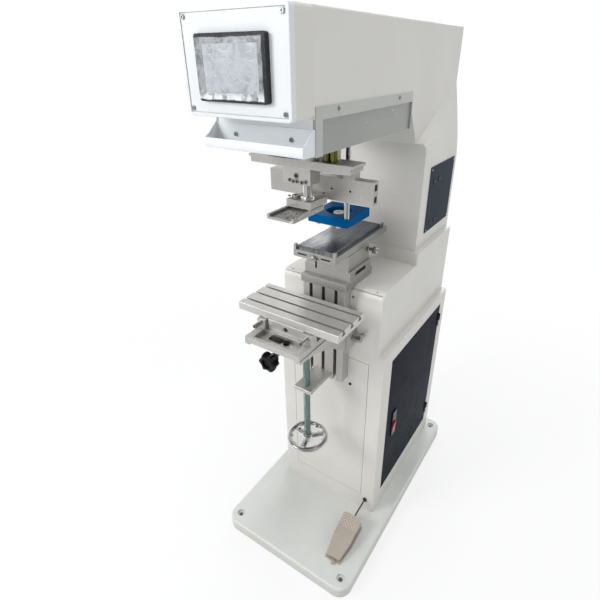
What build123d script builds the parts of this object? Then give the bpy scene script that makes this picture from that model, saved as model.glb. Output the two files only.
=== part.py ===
from build123d import *
import math
import os

# Single-colour pad printing machine with the holder of its ink cup, on a floor cabinet.
# Millimetres, +Z up, the machine's front towards -Y. The origin is the centre of the base plate's
# underside. Every function makes one separate piece in its real place, with the shuttle part way
# along its stroke, the pad raised and the table in the middle of its travel.

# Clearances and sheet
gap = 0.3
slip = 0.05
wall = 2.5
hood_wall = 4.0
edge_r = 1.0

# Base plate
base_w = 435.0
base_d = 767.0
base_t = 39.4
base_corner_r = 38.0
base_edge_r = 5.0
bolt_in_x = 31.5
bolt_in_y = 33.5
bolt_hole_r = 6.5
bolt_sink_r = 12.0
bolt_sink_depth = 7.0

# Cabinet with an inset front panel
cabinet_w = 336.0
cabinet_d = 470.0
cabinet_h = 610.0
cabinet_setback = 33.5
cabinet_edge_r = 6.0
panel_w = 244.0
panel_h = 513.0
panel_low = 60.5
panel_seam = 1.4
panel_lip = 12.0
panel_corner_r = 3.0
keyhole_r = 3.5
keyhole_x = 68.8
keyhole_drop = 88.0

# Side door with the power switch
door_d = 371.0
door_h = 508.0
door_low = 64.5
door_in = 50.0
hinge_out = 2.9
hinge_r = 2.5
hinge_h = 24.0
hinge_end = 60.0
hinge_pin_r = 1.4
hinge_leaf_w = 12.0
switch_d = 28.0
switch_h = 95.0
switch_t = 4.0
switch_in = 51.0
switch_low = 246.5
rocker_d = 20.0
rocker_h = 44.0
rocker_t = 10.0
rocker_drop = 16.0
rocker_pin_r = 1.5

# Body between cabinet and column
torso_w = 302.0
torso_h = 179.0
torso_front_r = 22.0
torso_edge_r = 6.0
shoulder_h = 36.0
shoulder_d = 264.0
torso_hole_r = 2.5
torso_hole_x = 127.0
torso_hole_in = 13.0
torso_port_r = 3.5
torso_port_x = 67.0
torso_port_drop = 26.5

# Column, neck and hood
column_w = 274.0
column_d = 254.0
column_h = 279.0
neck_h = 101.0
neck_in = 49.0
neck_nose = 20.0
neck_foot = 4.0
head_w = 218.0
head_h = 155.6
head_d = 705.0
head_edge_r = 5.0
flare_h = 130.0
flare_front_shares = [(1, -0.28), (1, -0.135), (0.91, -0.05), (0.68, 0), (-0.1, 0)]
flare_rear_shares = [(1, -0.48), (0.84, -0.11), (0.59, 0.245), (0.285, 0.63), (-0.1, 1.08)]

# Control panel on the column's right side
control_d = 183.0
control_h = 178.0
control_t = 2.0
control_low = 37.0
control_back = 22.0
port_r = 5.0
port_low = 22.0
port_rise = 115.0
port_in = 33.0
port_pitch = 37.0

# Box on the head's front, with the touch screen
face_d = 59.0
face_out = 1.0
face_wall = 3.0
face_rim = 6.0
face_corner_r = 8.0
face_heel_r = 12.0
face_seam = 1.2
face_sink = 1.5
face_screw_in = 12.0
screen_w = 144.0
screen_h = 96.0
screen_drop = 35.0
screen_proud = 9.0
screen_corner_r = 5.0
screen_case_w = 124.0
screen_case_h = 78.0
screen_case_d = 36.0
bezel_side = 16.0
bezel_top = 14.0
glass_t = 2.0

# Housing under the hood, its side covers and the front guard
housing_h = 60.0
housing_in = 4.0
cover_t = 2.0
cover_dish = 4.5
cover_band = 20.0
cover_flange = 18.0
cover_screw_in = 72.0
cover_screw_drop = 7.4
guard_h = 41.5
guard_low = 2.6
guard_d = 37.0
guard_lip = 18.0
guard_t = 1.5
guard_r = 7.0
guard_screw_x = 62.5
guard_screw_drop = 19.0
screw_r = 4.0
screw_t = 2.6

# Rails and drive of the shuttle, inside the hood
stroke_front = 55.0
stroke_back = 85.0
beam_w = 120.0
beam_h = 40.0
beam_wall = 4.0
beam_drop = 60.0
rail_r = 8.0
rail_in = 30.0
rail_drop = 4.4
rail_len = 322.0
rail_bracket_t = 10.0
rail_bracket_edge = 14.0
truck_in = 16.0
truck_d = 68.0
truck_t = 14.0
truck_rise = 52.0
bearing_w = 34.0
bearing_d = 30.0
drive_r = 20.0
drive_cap = 50.0
drive_cap_t = 14.0
drive_spare = 34.0
drive_x = -38.0
drive_rod_r = 6.0
drive_window_r = 12.0
drive_arm_w = 24.0
drive_arm_t = 10.0
drive_reach = 166.0

# Carriage
pad_x = 12.0
pad_in = 117.0
pad_travel = 95.0
carriage_w = 252.0
carriage_d = 52.0
carriage_t = 16.0
carriage_gap = 31.4
carriage_ahead = 18.0
carriage_step = 5.0
post_r = 8.0
post_in = 58.0
post_out = 75.0
post_back = 24.0
guide_block_w = 67.0
guide_block_d = 37.0
guide_block_h = 33.0
guide_block_left = 50.0
guide_block_ahead = 16.0
pad_tube_r = 24.0
pad_tube_wall = 3.0
pad_tube_cap = 5.0
pad_tube_spare = 8.0

# Cross bar and its hanger
bar_w = 266.0
bar_d = 24.0
bar_h = 50.0
bar_behind = 25.0
hanger_w = 178.0
hanger_h = 29.0
hanger_ear = 28.0
hanger_t = 12.0
hanger_lap = 12.0
bar_hole_r = 2.6
bar_hole_in = 33.7
bar_hole_out = 79.4
bar_pocket_h = 14.0
bar_pocket_d = 12.0
bar_pocket_deep = 6.0
guide_w = 34.0
guide_d = 39.0
guide_h = 42.0

# Pad unit
pad_rod_r = 10.0
pad_rod_show = 34.0
pad_flange_r = 15.0
pad_flange_t = 5.0
piston_t = 12.0
pad_block_w = 62.0
pad_block_d = 64.0
pad_block_h = 16.0
pad_block_ahead = 18.0
pad_boss_r = 9.0
pad_boss_h = 6.0
pad_boss_x = -18.0
tray_w = 66.0
tray_d = 111.0
tray_t = 10.0
tray_rim = 6.0
tray_floor = 5.0
tray_ahead = 81.0
tray_rows = 3
tray_hole_r = 3.4
tray_hole_in = 14.0
tray_hole_x = 9.0
tray_hole_y = 15.0

# Holder of the ink cup
holder_rise = 44.0
holder_w = 110.0
holder_d = 114.0
holder_t = 20.0
holder_corner_r = 5.0
pocket_r = 31.0
pocket_deep = 11.0
seat_r = 14.0
seat_hole_r = 6.0
seat_h = 7.0
foot_r = 5.0
foot_h = 4.0
foot_x = 28.0
foot_in = 4.0
cup_rod_r = 6.5
cup_rod_x = 47.0
cup_rod_in = 10.0
cup_rod_back = 21.0
cup_rod_over = 78.0

# Printing plate on its bed and adjusting stage
pedestal_w = 132.0
pedestal_t = 20.6
pedestal_nose = 37.0
pedestal_tail = 100.0
stage_w = 120.0
stage_d = 108.0
stage_nose = 18.0
stage_base_w = 132.0
stage_base_h = 26.0
stage_slot_d = 53.0
stage_slot_h = 10.0
stage_slot_deep = 18.0
stage_block_h = 39.0
bed_w = 116.0
bed_d = 268.0
bed_t = 17.0
bed_nose = 76.0
bed_slot_w = 26.0
bed_slot_h = 4.0
bed_slot_x = 33.0
bed_slot_deep = 12.0
clamp_w = 6.5
clamp_d = 8.0
clamp_h = 13.0
plate_w = 99.0
plate_d = 237.0
plate_t = 10.0
plate_in = 7.0
fine_knob_r = 9.0
fine_knob_t = 12.0
fine_shaft_r = 3.0
fine_shaft_len = 3.0
fine_screw_r = 5.5
fine_screw_t = 6.0

# Grooved slide rail on the body's front
slide_w = 121.0
slide_t = 34.0
slide_len = 280.0
groove_w = 10.0
groove_neck = 8.0
groove_head_w = 20.0
groove_head_t = 9.0
groove_pitch = 37.0

# Knee that carries the table
knee_w = 152.0
knee_d = 200.0
knee_t = 14.0
knee_drop = 56.4
pocket_w = 116.0
pocket_d = 36.0
pocket_rim = 10.0
pocket_floor = 4.0
pocket_slot_w = 34.0
pocket_slot_x = -15.0
pocket_slot_d = 16.0
gusset_w = 13.0
gusset_out = 2.0
gusset_nose = 7.0
gusset_flat = 13.0
gusset_bow_shares = (0.57, 0.32)
knee_back_w = 160.0
knee_back_t = 13.7
knee_back_h = 108.0
cheek_d = 42.0
lug_w = 22.0
lug_d = 22.0
lug_h = 25.0
lug_in = 54.0
lug_back = 46.0
adjust_r = 5.5
adjust_len = 24.0
adjust_shank_r = 3.0
adjust_rise = 17.0

# Riser and slotted table
riser_w = 100.0
riser_d = 116.0
riser_h = 26.0
riser_in = 54.6
riser_hole_r = 6.0
riser_hole_deep = 30.0
table_w = 276.6
table_d = 116.0
table_t = 19.7
slot_w = 7.0
slot_lip = 5.0
slot_head_w = 14.0
slot_head_h = 6.5
slot_pitch = 36.0
slot_back = 2.4
table_edge = 1.5

# Lead screw, its bracket and the hand wheel
lead_out = 80.0
lead_r = 9.0
lead_collar_r = 14.0
lead_collar_t = 8.0
bracket_w = 53.0
bracket_reach = 101.0
bracket_t = 11.0
bracket_rise = 12.0
wheel_r = 58.6
wheel_rim_r = 7.0
wheel_drop = 176.4
hub_r = 14.0
hub_h = 26.0
spoke_w = 17.0
spoke_t = 7.0
spokes = 3
spoke_turn = 46.0

# Clamp knob in front of the knee's back plate and clamp screw at its side
knob_r = 26.0
knob_lobe_r = 8.5
knob_t = 24.0
knob_hub_r = 13.0
knob_hub_t = 10.0
knob_x = -45.0
knob_z = 21.0
knob_reach = 170.0
knob_stud_r = 5.0
knob_lobes = 6
side_lock_r = 9.0
side_lock_t = 12.0
side_lock_shank_r = 5.0
side_lock_shank = 12.0
side_lock_z = 31.0

# Foot pedal with its cable
pedal_x = 138.0
pedal_ahead = 133.0
pedal_turn = 3.0
pedal_len = 132.0
pedal_toe_w = 60.0
pedal_waist_w = 58.0
pedal_heel_w = 42.0
pedal_waist_share = 0.42
pedal_corner_r = 8.0
pedal_base_t = 6.0
pedal_base_out = 3.0
pedal_t = 6.0
pedal_heel_h = 19.0
pedal_toe_h = 43.0
pedal_skirt = 4.0
pedal_skirt_deep = 9.0
pedal_pin_r = 2.5
pedal_pin_in = 12.0
pedal_pin_rise = 13.0
pedal_ear = 5.0
pedal_ear_x = 12.0
pedal_nub_r = 5.0
pedal_nub_len = 9.0
pedal_nub_x = 4.0
cable_r = 2.3
relief_w = 18.0
relief_d = 14.0
gland_r = 6.5
gland_t = 6.0
gland_body_r = 4.5
gland_body = 10.0
# Cable's corners: place across, distance ahead of the cabinet's front, height
cable_turns = [(139.9, gland_t, 85.4), (139.9, 21.5, 85.4), (138.0, 36.0, 78.0),
               (135.3, 49.0, 66.0), (133.6, 62.0, 58.0), (133.6, 77.0, 58.0)]
cable_bend_share = 0.45

# Control box inside the cabinet
box_w = 220.0
box_d = 120.0
box_h = 300.0
box_back = 60.0

# Levels and planes shared by neighbouring pieces
cabinet_top = base_t + cabinet_h
torso_top = cabinet_top + torso_h
shoulder_top = torso_top + shoulder_h
column_top = shoulder_top + column_h
head_low = column_top + neck_h
head_top = head_low + head_h
housing_low = head_low - housing_h
rear_y = base_d / 2 - cabinet_setback
front_y = rear_y - cabinet_d
column_y = rear_y - column_d
neck_y = column_y - neck_in
head_y = rear_y - head_d
face_y = head_y - face_d
housing_y = head_y + housing_in
housing_w = head_w - 2 * cover_dish
face_w = head_w + 2 * face_out
cover_d = neck_y - wall - housing_y
truck_w = head_w - 2 * truck_in
rail_x = housing_w / 2 - wall - rail_in
beam_low = head_top - beam_drop
rail_z = head_low - rail_drop
rail_y = housing_y + wall + gap
pad_y = housing_y + pad_in
carriage_low = housing_low - carriage_gap - carriage_t
carriage_top = carriage_low + carriage_t
carriage_y = pad_y - carriage_ahead
pad_tube_h = pad_travel + 2 * pad_tube_cap + 2 * piston_t + pad_tube_spare
truck_low = carriage_top + truck_rise
truck_top = truck_low + truck_t
truck_y = carriage_y + edge_r
bar_top = carriage_low - hanger_h
bar_y = carriage_y + carriage_d + bar_behind
guide_y = bar_y + bar_d
guide_low = bar_top - (bar_h + guide_h) / 2
guide_top = guide_low + guide_h
cup_rod_y = guide_y + cup_rod_back
holder_y = cup_rod_y - cup_rod_in
cup_y = holder_y + holder_d / 2
pedestal_top = torso_top + pedestal_t
stage_y = front_y - stage_nose
stage_mid = pedestal_top + stage_base_h
stage_top = stage_mid + stage_block_h
bed_y = front_y - bed_nose
bed_top = stage_top + bed_t
plate_top = bed_top + plate_t
holder_low = plate_top + holder_rise
holder_top = holder_low + holder_t
slide_y = front_y - slide_t
slide_low = torso_top - slide_len
knee_top = torso_top - knee_drop
knee_low = knee_top - knee_t
knee_foot = knee_top - knee_back_h
knee_back_y = slide_y - gap - knee_back_t
knee_y = knee_back_y - knee_d
riser_y = knee_y + riser_in
riser_top = knee_top + riser_h
table_top = riser_top + table_t
slot_y = riser_y + table_d / 2 + slot_back
lead_y = slide_y - lead_out
bracket_low = slide_low + bracket_rise
wheel_z = bracket_low - wheel_drop
pad_block_low = carriage_low - guide_block_h - pad_rod_show - pad_block_h
drive_z = beam_low - drive_cap / 2
drive_y = truck_y + truck_d + drive_reach
drive_len = stroke_front + stroke_back + 4 * drive_cap_t + drive_spare
pedal_y = front_y - pedal_ahead
cable_points = [(x, front_y - ahead, z) for x, ahead, z in cable_turns]
gland_x = cable_points[0][0]
gland_z = cable_points[0][2]


def slab(x0, x1, y0, y1, z0, z1):
    """A block between two opposite corners."""
    return Pos((x0 + x1) / 2, (y0 + y1) / 2, (z0 + z1) / 2) * Box(x1 - x0, y1 - y0, z1 - z0)


def wide(width, y0, y1, z0, z1):
    """A block centred on the machine's middle plane."""
    return slab(-width / 2, width / 2, y0, y1, z0, z1)


def rod_x(x0, x1, y, z, r):
    """A round bar along X."""
    return Pos((x0 + x1) / 2, y, z) * Rot(0, 90, 0) * Cylinder(r, abs(x1 - x0))


def rod_y(x, y0, y1, z, r):
    """A round bar along Y."""
    return Pos(x, (y0 + y1) / 2, z) * Rot(90, 0, 0) * Cylinder(r, abs(y1 - y0))


def rod_z(x, y, z0, z1, r):
    """A round bar along Z."""
    return Pos(x, y, (z0 + z1) / 2) * Cylinder(r, abs(z1 - z0))


def prism_x(points, x0, x1):
    """A solid with an outline of (y, z) points, between two places along X."""
    return extrude(Face(Wire.make_polygon([(x0, y, z) for y, z in points])), x1 - x0, dir=(1, 0, 0))


def prism_y(points, y0, y1):
    """A solid with an outline of (x, z) points, between two places along Y."""
    return extrude(Face(Wire.make_polygon([(x, y0, z) for x, z in points])), y1 - y0, dir=(0, 1, 0))


def upright(solid, r):
    """The solid with its vertical edges rounded."""
    return fillet(solid.edges().filter_by(Axis.Z), r)


def eased(solid, r=edge_r):
    """The solid with every edge slightly broken."""
    return chamfer(solid.edges(), r)


def mirrored(solid):
    """The solid on the other side of the machine's middle plane."""
    return mirror(solid, about=Plane.YZ)


def group(*pieces):
    """Several separate solids as one node."""
    return Compound([one for piece in pieces for one in piece.solids()])


def screw_head(r, t):
    """A screw head that stands on the XY plane, with a hexagon socket."""
    head = Pos(0, 0, t / 2) * Cylinder(r, t)
    head = chamfer(head.edges().group_by(Axis.Z)[-1], min(r, t) / 5)
    return head - Pos(0, 0, t / 2) * extrude(RegularPolygon(r / 2, 6), t)


# Base and cabinet


def base_plate():
    """Base with rounded corners and four sunk bolt holes."""
    plate = upright(wide(base_w, -base_d / 2, base_d / 2, 0, base_t), base_corner_r)
    plate = fillet(plate.faces().sort_by(Axis.Z)[-1].edges(), base_edge_r)
    for x in (bolt_in_x - base_w / 2, base_w / 2 - bolt_in_x):
        for y in (bolt_in_y - base_d / 2, base_d / 2 - bolt_in_y):
            plate -= rod_z(x, y, 0, base_t, bolt_hole_r)
            plate -= rod_z(x, y, base_t - bolt_sink_depth, base_t, bolt_sink_r)
    return plate


def panel_space(grow, y0, y1):
    """Space of the inset front panel, grown on each side."""
    low = base_t + panel_low
    return wide(panel_w + 2 * grow, y0, y1, low - grow, low + panel_h + grow)


def door_space(grow, x0, x1):
    """Space of the side door, grown on each side."""
    y0 = front_y + door_in
    low = base_t + door_low
    return slab(x0, x1, y0 - grow, y0 + door_d + grow, low - grow, low + door_h + grow)


def hinge_levels():
    """Heights where the door's two hinges part."""
    low = base_t + door_low
    return low + hinge_end, low + door_h - hinge_end


def hinge_axis():
    """The door's hinge line, as x and y."""
    return cabinet_w / 2 + hinge_out, front_y + door_in + door_d + panel_seam / 2


def cabinet():
    """Sheet cabinet, open where the panel and the door close it, each with a lip behind."""
    shell = upright(wide(cabinet_w, front_y, rear_y, base_t, cabinet_top), cabinet_edge_r)
    shell -= wide(cabinet_w - 2 * wall, front_y + wall, rear_y - wall, base_t, cabinet_top - wall)
    inner = front_y + wall
    shell += panel_space(panel_lip, inner, inner + wall)
    shell -= panel_space(-panel_lip, inner, inner + wall)
    shell -= panel_space(panel_seam, front_y - wall, inner)
    side = cabinet_w / 2
    shell += door_space(panel_lip, side - 2 * wall, side - wall)
    shell -= door_space(-panel_lip, side - 2 * wall, side - wall)
    shell -= door_space(panel_seam, side - wall, side + wall)
    shell -= rod_y(gland_x, front_y - wall, front_y + 2 * wall, gland_z, gland_body_r)
    x, y = hinge_axis()
    for z in hinge_levels():
        shell += slab(side, x, y, y + hinge_leaf_w, z - hinge_h, z)
        shell += rod_z(x, y, z - hinge_h, z, hinge_r)
        shell += rod_z(x, y, z, z + hinge_h - hinge_r, hinge_pin_r)
    return shell


def front_panel():
    """Flush panel in the cabinet's front, with a keyhole."""
    panel = panel_space(0, front_y, front_y + wall)
    panel = fillet(panel.edges().filter_by(Axis.Y), panel_corner_r)
    z = base_t + panel_low + panel_h - keyhole_drop
    return panel - rod_y(keyhole_x, front_y - wall, front_y + 2 * wall, z, keyhole_r)


def rocker_place():
    """Centre of the rocker on the side door, as y and z."""
    y = front_y + door_in + switch_in
    z = base_t + door_low + switch_low - rocker_drop
    return y, z


def side_door():
    """Dark side door on two lift-off hinges, cut out for the power switch."""
    side = cabinet_w / 2
    door = door_space(0, side - wall + gap, side)
    y, z = rocker_place()
    door -= slab(side - wall, side + wall, y - rocker_d / 2, y + rocker_d / 2,
                 z - rocker_h / 2, z + rocker_h / 2)
    x, y = hinge_axis()
    for z in hinge_levels():
        low = z + slip
        door += slab(side, x, y - hinge_leaf_w, y, low, low + hinge_h)
        door += rod_z(x, y, low, low + hinge_h, hinge_r)
        door -= rod_z(x, y, low, low + hinge_h, hinge_pin_r + slip)
    return door


def switch_plate():
    """Escutcheon of the power switch with the walls of its rocker well."""
    y, z = rocker_place()
    side = cabinet_w / 2
    middle = z + rocker_drop
    plate = slab(side, side + switch_t, y - switch_d / 2, y + switch_d / 2,
                 middle - switch_h / 2, middle + switch_h / 2)
    plate = fillet(plate.edges().filter_by(Axis.X), switch_t / 2)
    plate = chamfer(plate.faces().sort_by(Axis.X)[-1].edges(), switch_t / 4)
    well_d = rocker_d - 2 * slip
    well_h = rocker_h - 2 * slip
    deep = side - rocker_t
    plate += slab(deep, side, y - well_d / 2, y + well_d / 2, z - well_h / 2, z + well_h / 2)
    plate -= slab(deep + edge_r, side + switch_t, y - well_d / 2 + edge_r, y + well_d / 2 - edge_r,
                  z - well_h / 2 + edge_r, z + well_h / 2 - edge_r)
    return plate + rod_y(side, y - well_d / 2, y + well_d / 2, z, rocker_pin_r)


def rocker():
    """Rocker of the power switch, on the pin across its well."""
    y, z = rocker_place()
    side = cabinet_w / 2
    half = rocker_h / 2 - edge_r - 2 * gap
    top = side + switch_t
    outline = [(side - switch_t, z - half / 2), (side, z - half), (top, z - half),
               (top + edge_r, z), (top + switch_t, z + half - edge_r), (side, z + half - edge_r),
               (side - switch_t, z + half / 2)]
    depth = rocker_d / 2 - edge_r - gap
    body = prism_y(outline, y - depth, y + depth)
    return body - rod_y(side, y - depth, y + depth, z, rocker_pin_r + slip)


def control_box():
    """Drive and valve box that stands in the cabinet."""
    y1 = rear_y - box_back
    return eased(wide(box_w, y1 - box_d, y1, base_t, base_t + box_h), edge_r * 3)


# Body, column and hood


def torso_outline(inset, low):
    """Side outline of the body, set in from its skin."""
    step = rear_y - shoulder_d + inset
    return [(front_y + inset, low), (front_y + inset, torso_top - inset), (step, torso_top - inset),
            (step, shoulder_top - inset), (rear_y - inset, shoulder_top - inset), (rear_y - inset, low)]


def torso():
    """Sheet body with a rounded front edge and a shoulder under the column."""
    body = prism_x(torso_outline(0, cabinet_top), -torso_w / 2, torso_w / 2)
    edge = body.edges().filter_by(Axis.X).group_by(Axis.Y)[0].sort_by(Axis.Z)[-1]
    body = fillet(edge, torso_front_r)
    body = upright(body, torso_edge_r)
    inset = torso_edge_r
    body -= prism_x(torso_outline(inset, cabinet_top), inset - torso_w / 2, torso_w / 2 - inset)
    for x in (-torso_hole_x, torso_hole_x):
        body -= rod_z(x, front_y + torso_hole_in, torso_top - inset * 2, torso_top, torso_hole_r)
    z = torso_top - torso_port_drop
    return body - rod_y(torso_port_x, front_y, front_y + 2 * inset, z, torso_port_r)


def column_section(y, shares):
    """Outline of the column at one place along Y."""
    side = head_w / 2
    spread = (column_w - head_w) / 2
    half = [(column_w / 2, shoulder_top)]
    for share_x, share_z in shares:
        half.append((side + share_x * spread, column_top + share_z * flare_h))
    other = [(-x, z) for x, z in reversed(half)]
    return Face(Wire.make_polygon([(x, y, z) for x, z in half + other]))


def column_form():
    """Solid form of the column: ledged in front, flared up to the hood at the rear."""
    return loft([column_section(column_y, flare_front_shares),
                 column_section(rear_y, flare_rear_shares)], ruled=True)


def neck_form(inset, low, top):
    """Solid form of the neck between column and hood, set in from its skin."""
    outline = [(neck_y + inset, top), (neck_y + inset, head_low - neck_nose),
               (column_y - neck_foot + 2 * inset, column_top), (column_y + inset, low),
               (rear_y - inset, low), (rear_y - inset, top)]
    return prism_x(outline, inset - head_w / 2, head_w / 2 - inset)


def column():
    """Hollow column with the neck, up to the hood's underside."""
    shell = column_form() + neck_form(0, column_top, head_low + hood_wall)
    shell &= wide(column_w, neck_y, rear_y, shoulder_top, head_low)
    shelf = column_top + flare_rear_shares[0][1] * flare_h - hood_wall
    shell -= wide(column_w - 2 * hood_wall, column_y + hood_wall, rear_y - hood_wall, shoulder_top, shelf)
    return shell - neck_form(hood_wall, shelf, head_low + hood_wall)


def hood():
    """Long hood over the shuttle, open below, with the flare's tips on its rear sides."""
    shell = wide(head_w, head_y, rear_y, head_low, head_top)
    shell = fillet(shell.edges().filter_by(Axis.Y).group_by(Axis.Z)[-1], head_edge_r)
    shell += column_form() & wide(column_w, column_y, rear_y, head_low, head_top)
    room = head_w - 2 * hood_wall
    return shell - wide(room, head_y + hood_wall, rear_y - hood_wall, head_low, head_top - hood_wall)


def control_panel():
    """Dark plate on the column's right side with four plain round ports."""
    y1 = rear_y - control_back
    y0 = y1 - control_d
    z0 = shoulder_top + control_low
    x = column_w / 2
    panel = slab(x, x + control_t, y0, y1, z0, z0 + control_h)
    for y in (y0 + port_in, y0 + port_in + port_pitch):
        for z in (z0 + port_low, z0 + port_low + port_rise):
            panel += rod_x(x, x + 2 * control_t, y, z, port_r + control_t)
            panel -= rod_x(x + control_t / 2, x + 2 * control_t, y, z, port_r)
    return panel


# Screen box, housing, covers and guard


def face_box():
    """Hollow box on the head's front with a rounded rim and a rounded heel."""
    box = wide(face_w, face_y, head_y, head_low, head_top)
    box = fillet(box.edges().filter_by(Axis.Y), face_corner_r)
    box = fillet(box.faces().sort_by(Axis.Y)[0].edges(), 2 * edge_r)
    heel = wide(face_w, head_y - face_heel_r, head_y, head_low, head_low + face_heel_r)
    heel -= rod_x(-face_w / 2, face_w / 2, head_y - face_heel_r, head_low + face_heel_r, face_heel_r)
    box -= heel
    box -= wide(face_w - 2 * face_rim, face_y, face_y + face_wall, head_low + face_rim,
                head_top - face_rim)
    trim = face_rim + face_wall
    return box - wide(face_w - 2 * trim, face_y, head_y - face_wall, head_low + trim, head_top - trim)


def screen_block(width, height, y0, y1):
    """A block centred on the touch screen."""
    middle = head_top - screen_drop - screen_h / 2
    return wide(width, y0, y1, middle - height / 2, middle + height / 2)


def face_cover():
    """Plate set into the box's rim, cut out for the screen's case."""
    trim = face_rim + face_seam
    y1 = face_y + face_wall
    plate = wide(face_w - 2 * trim, y1 - face_sink, y1, head_low + trim, head_top - trim)
    plate = fillet(plate.edges().filter_by(Axis.Y), face_seam * 2)
    return plate - screen_block(screen_case_w + 2 * gap, screen_case_h + 2 * gap, face_y, y1)


def screen_bezel():
    """Bezel of the touch screen, proud of the cover plate, with the case behind it."""
    y1 = face_y + face_wall - face_sink
    y0 = y1 - screen_proud
    bezel = screen_block(screen_w, screen_h, y0, y1)
    bezel = fillet(bezel.edges().filter_by(Axis.Y), screen_corner_r)
    bezel = chamfer(bezel.faces().sort_by(Axis.Y)[0].edges(), edge_r)
    bezel += screen_block(screen_case_w, screen_case_h, y1, y1 + screen_case_d)
    return bezel - screen_block(screen_w - 2 * bezel_side, screen_h - 2 * bezel_top, y0, y0 + glass_t)


def screen_glass():
    """Glass of the touch screen, sunk in its bezel."""
    y0 = face_y + face_wall - face_sink - screen_proud
    return screen_block(screen_w - 2 * bezel_side, screen_h - 2 * bezel_top, y0 + glass_t / 4, y0 + glass_t)


def housing():
    """Front wall and side walls under the hood."""
    shell = wide(housing_w, housing_y, neck_y, housing_low, head_low)
    return shell - wide(housing_w - 2 * wall, housing_y + wall, neck_y, housing_low, head_low)


def side_covers():
    """Side covers: a flat flange on the hood, a front band and a dished face."""
    x0 = housing_w / 2
    x1 = head_w / 2
    y1 = housing_y + cover_d
    cover = slab(x0, x1 + cover_t, housing_y, y1, housing_low, head_low + cover_flange)
    cover -= slab(x0, x1, housing_y, y1, head_low - gap, head_low + cover_flange)
    cover -= slab(x0 + cover_t, x1 + cover_t, housing_y + cover_band, y1 - cover_t,
                  housing_low, head_low - gap - cover_t)
    return group(cover, mirrored(cover))


def guard():
    """Open trough in front of the shuttle, with a lip and curved end plates."""
    z0 = housing_low + guard_low
    y1 = housing_y
    y0 = y1 - guard_d
    end = [(y1, z0), (y1, z0 + guard_h), (y1 - guard_d / 8, z0 + guard_h),
           (y1 - guard_d * 2 / 3, z0 + guard_lip + guard_lip / 3), (y0 + guard_t, z0 + guard_lip),
           (y0, z0 + guard_lip / 2), (y0, z0)]
    trough = prism_x(end, -head_w / 2, head_w / 2)
    lower = trough.edges().filter_by(Axis.X).group_by(Axis.Z)[0].sort_by(Axis.Y)[0]
    trough = fillet(lower, guard_r)
    room = wide(head_w - 2 * guard_t, y0 + guard_t, y1 - guard_t, z0 + guard_t, z0 + guard_h)
    inner = room.edges().filter_by(Axis.X).group_by(Axis.Z)[0].sort_by(Axis.Y)[0]
    trough -= fillet(inner, guard_r - guard_t)
    return trough - wide(head_w - 2 * guard_t, y0 - guard_t, y1 - guard_t, z0 + guard_lip, z0 + guard_h)


def cover_screws():
    """Button screws of the face cover, the guard and the side covers."""
    found = []
    for side in (-1, 1):
        for z in (head_low + face_screw_in, head_top - face_screw_in):
            place = Pos(side * (face_w / 2 - face_screw_in), face_y + face_wall - face_sink, z)
            found.append(place * Rot(90, 0, 0) * screw_head(screw_r, screw_t))
        z = housing_low + guard_low + guard_h - guard_screw_drop
        place = Pos(side * guard_screw_x, housing_y - guard_t, z)
        found.append(place * Rot(90, 0, 0) * screw_head(screw_r, screw_t))
        z = head_low + cover_flange - cover_screw_drop
        for y in (housing_y + cover_screw_in, housing_y + cover_d - cover_screw_in):
            place = Pos(side * (head_w / 2 + cover_t), y, z)
            found.append(place * Rot(0, 90 * side, 0) * screw_head(screw_r, screw_t))
    return group(*found)


# Rails and drive inside the hood


def rail_frame():
    """Box beam under the hood's roof with two brackets that hold the rails."""
    beam = wide(beam_w, rail_y, rear_y - hood_wall, beam_low, beam_low + beam_h)
    beam -= wide(beam_w - 2 * beam_wall, rail_y, rear_y - hood_wall, beam_low + beam_wall,
                 beam_low + beam_h - beam_wall)
    across = 2 * (rail_x + rail_bracket_edge)
    low = rail_z - rail_bracket_edge
    for y in (rail_y, rail_y + rail_len - rail_bracket_t):
        plate = wide(across, y, y + rail_bracket_t, low, beam_low)
        plate -= wide(across - 4 * rail_bracket_edge, y, y + rail_bracket_t, low,
                      rail_z + rail_bracket_edge)
        plate -= rod_y(drive_x, y, y + rail_bracket_t, drive_z, drive_window_r)
        for x in (-rail_x, rail_x):
            plate -= rod_y(x, y, y + rail_bracket_t, rail_z, rail_r + slip)
        beam += plate
    return beam


def shuttle_rails():
    """Two hardened rails of the shuttle."""
    return group(*[rod_y(x, rail_y, rail_y + rail_len, rail_z, rail_r) for x in (-rail_x, rail_x)])


def shuttle_drive():
    """Air cylinder that drives the shuttle, hung under the beam by its end caps."""
    y0 = drive_y
    y1 = y0 + drive_len
    body = rod_y(drive_x, y0, y1, drive_z, drive_r)
    for y in (y0, y1 - drive_cap_t):
        body += slab(drive_x - drive_cap / 2, drive_x + drive_cap / 2, y, y + drive_cap_t,
                     drive_z - drive_cap / 2, drive_z + drive_cap / 2)
    body -= rod_y(drive_x, y0 + drive_cap_t, y1 - drive_cap_t, drive_z, drive_r - wall)
    return body - rod_y(drive_x, y0, y0 + drive_cap_t, drive_z, drive_rod_r + slip)


# Shuttle


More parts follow.
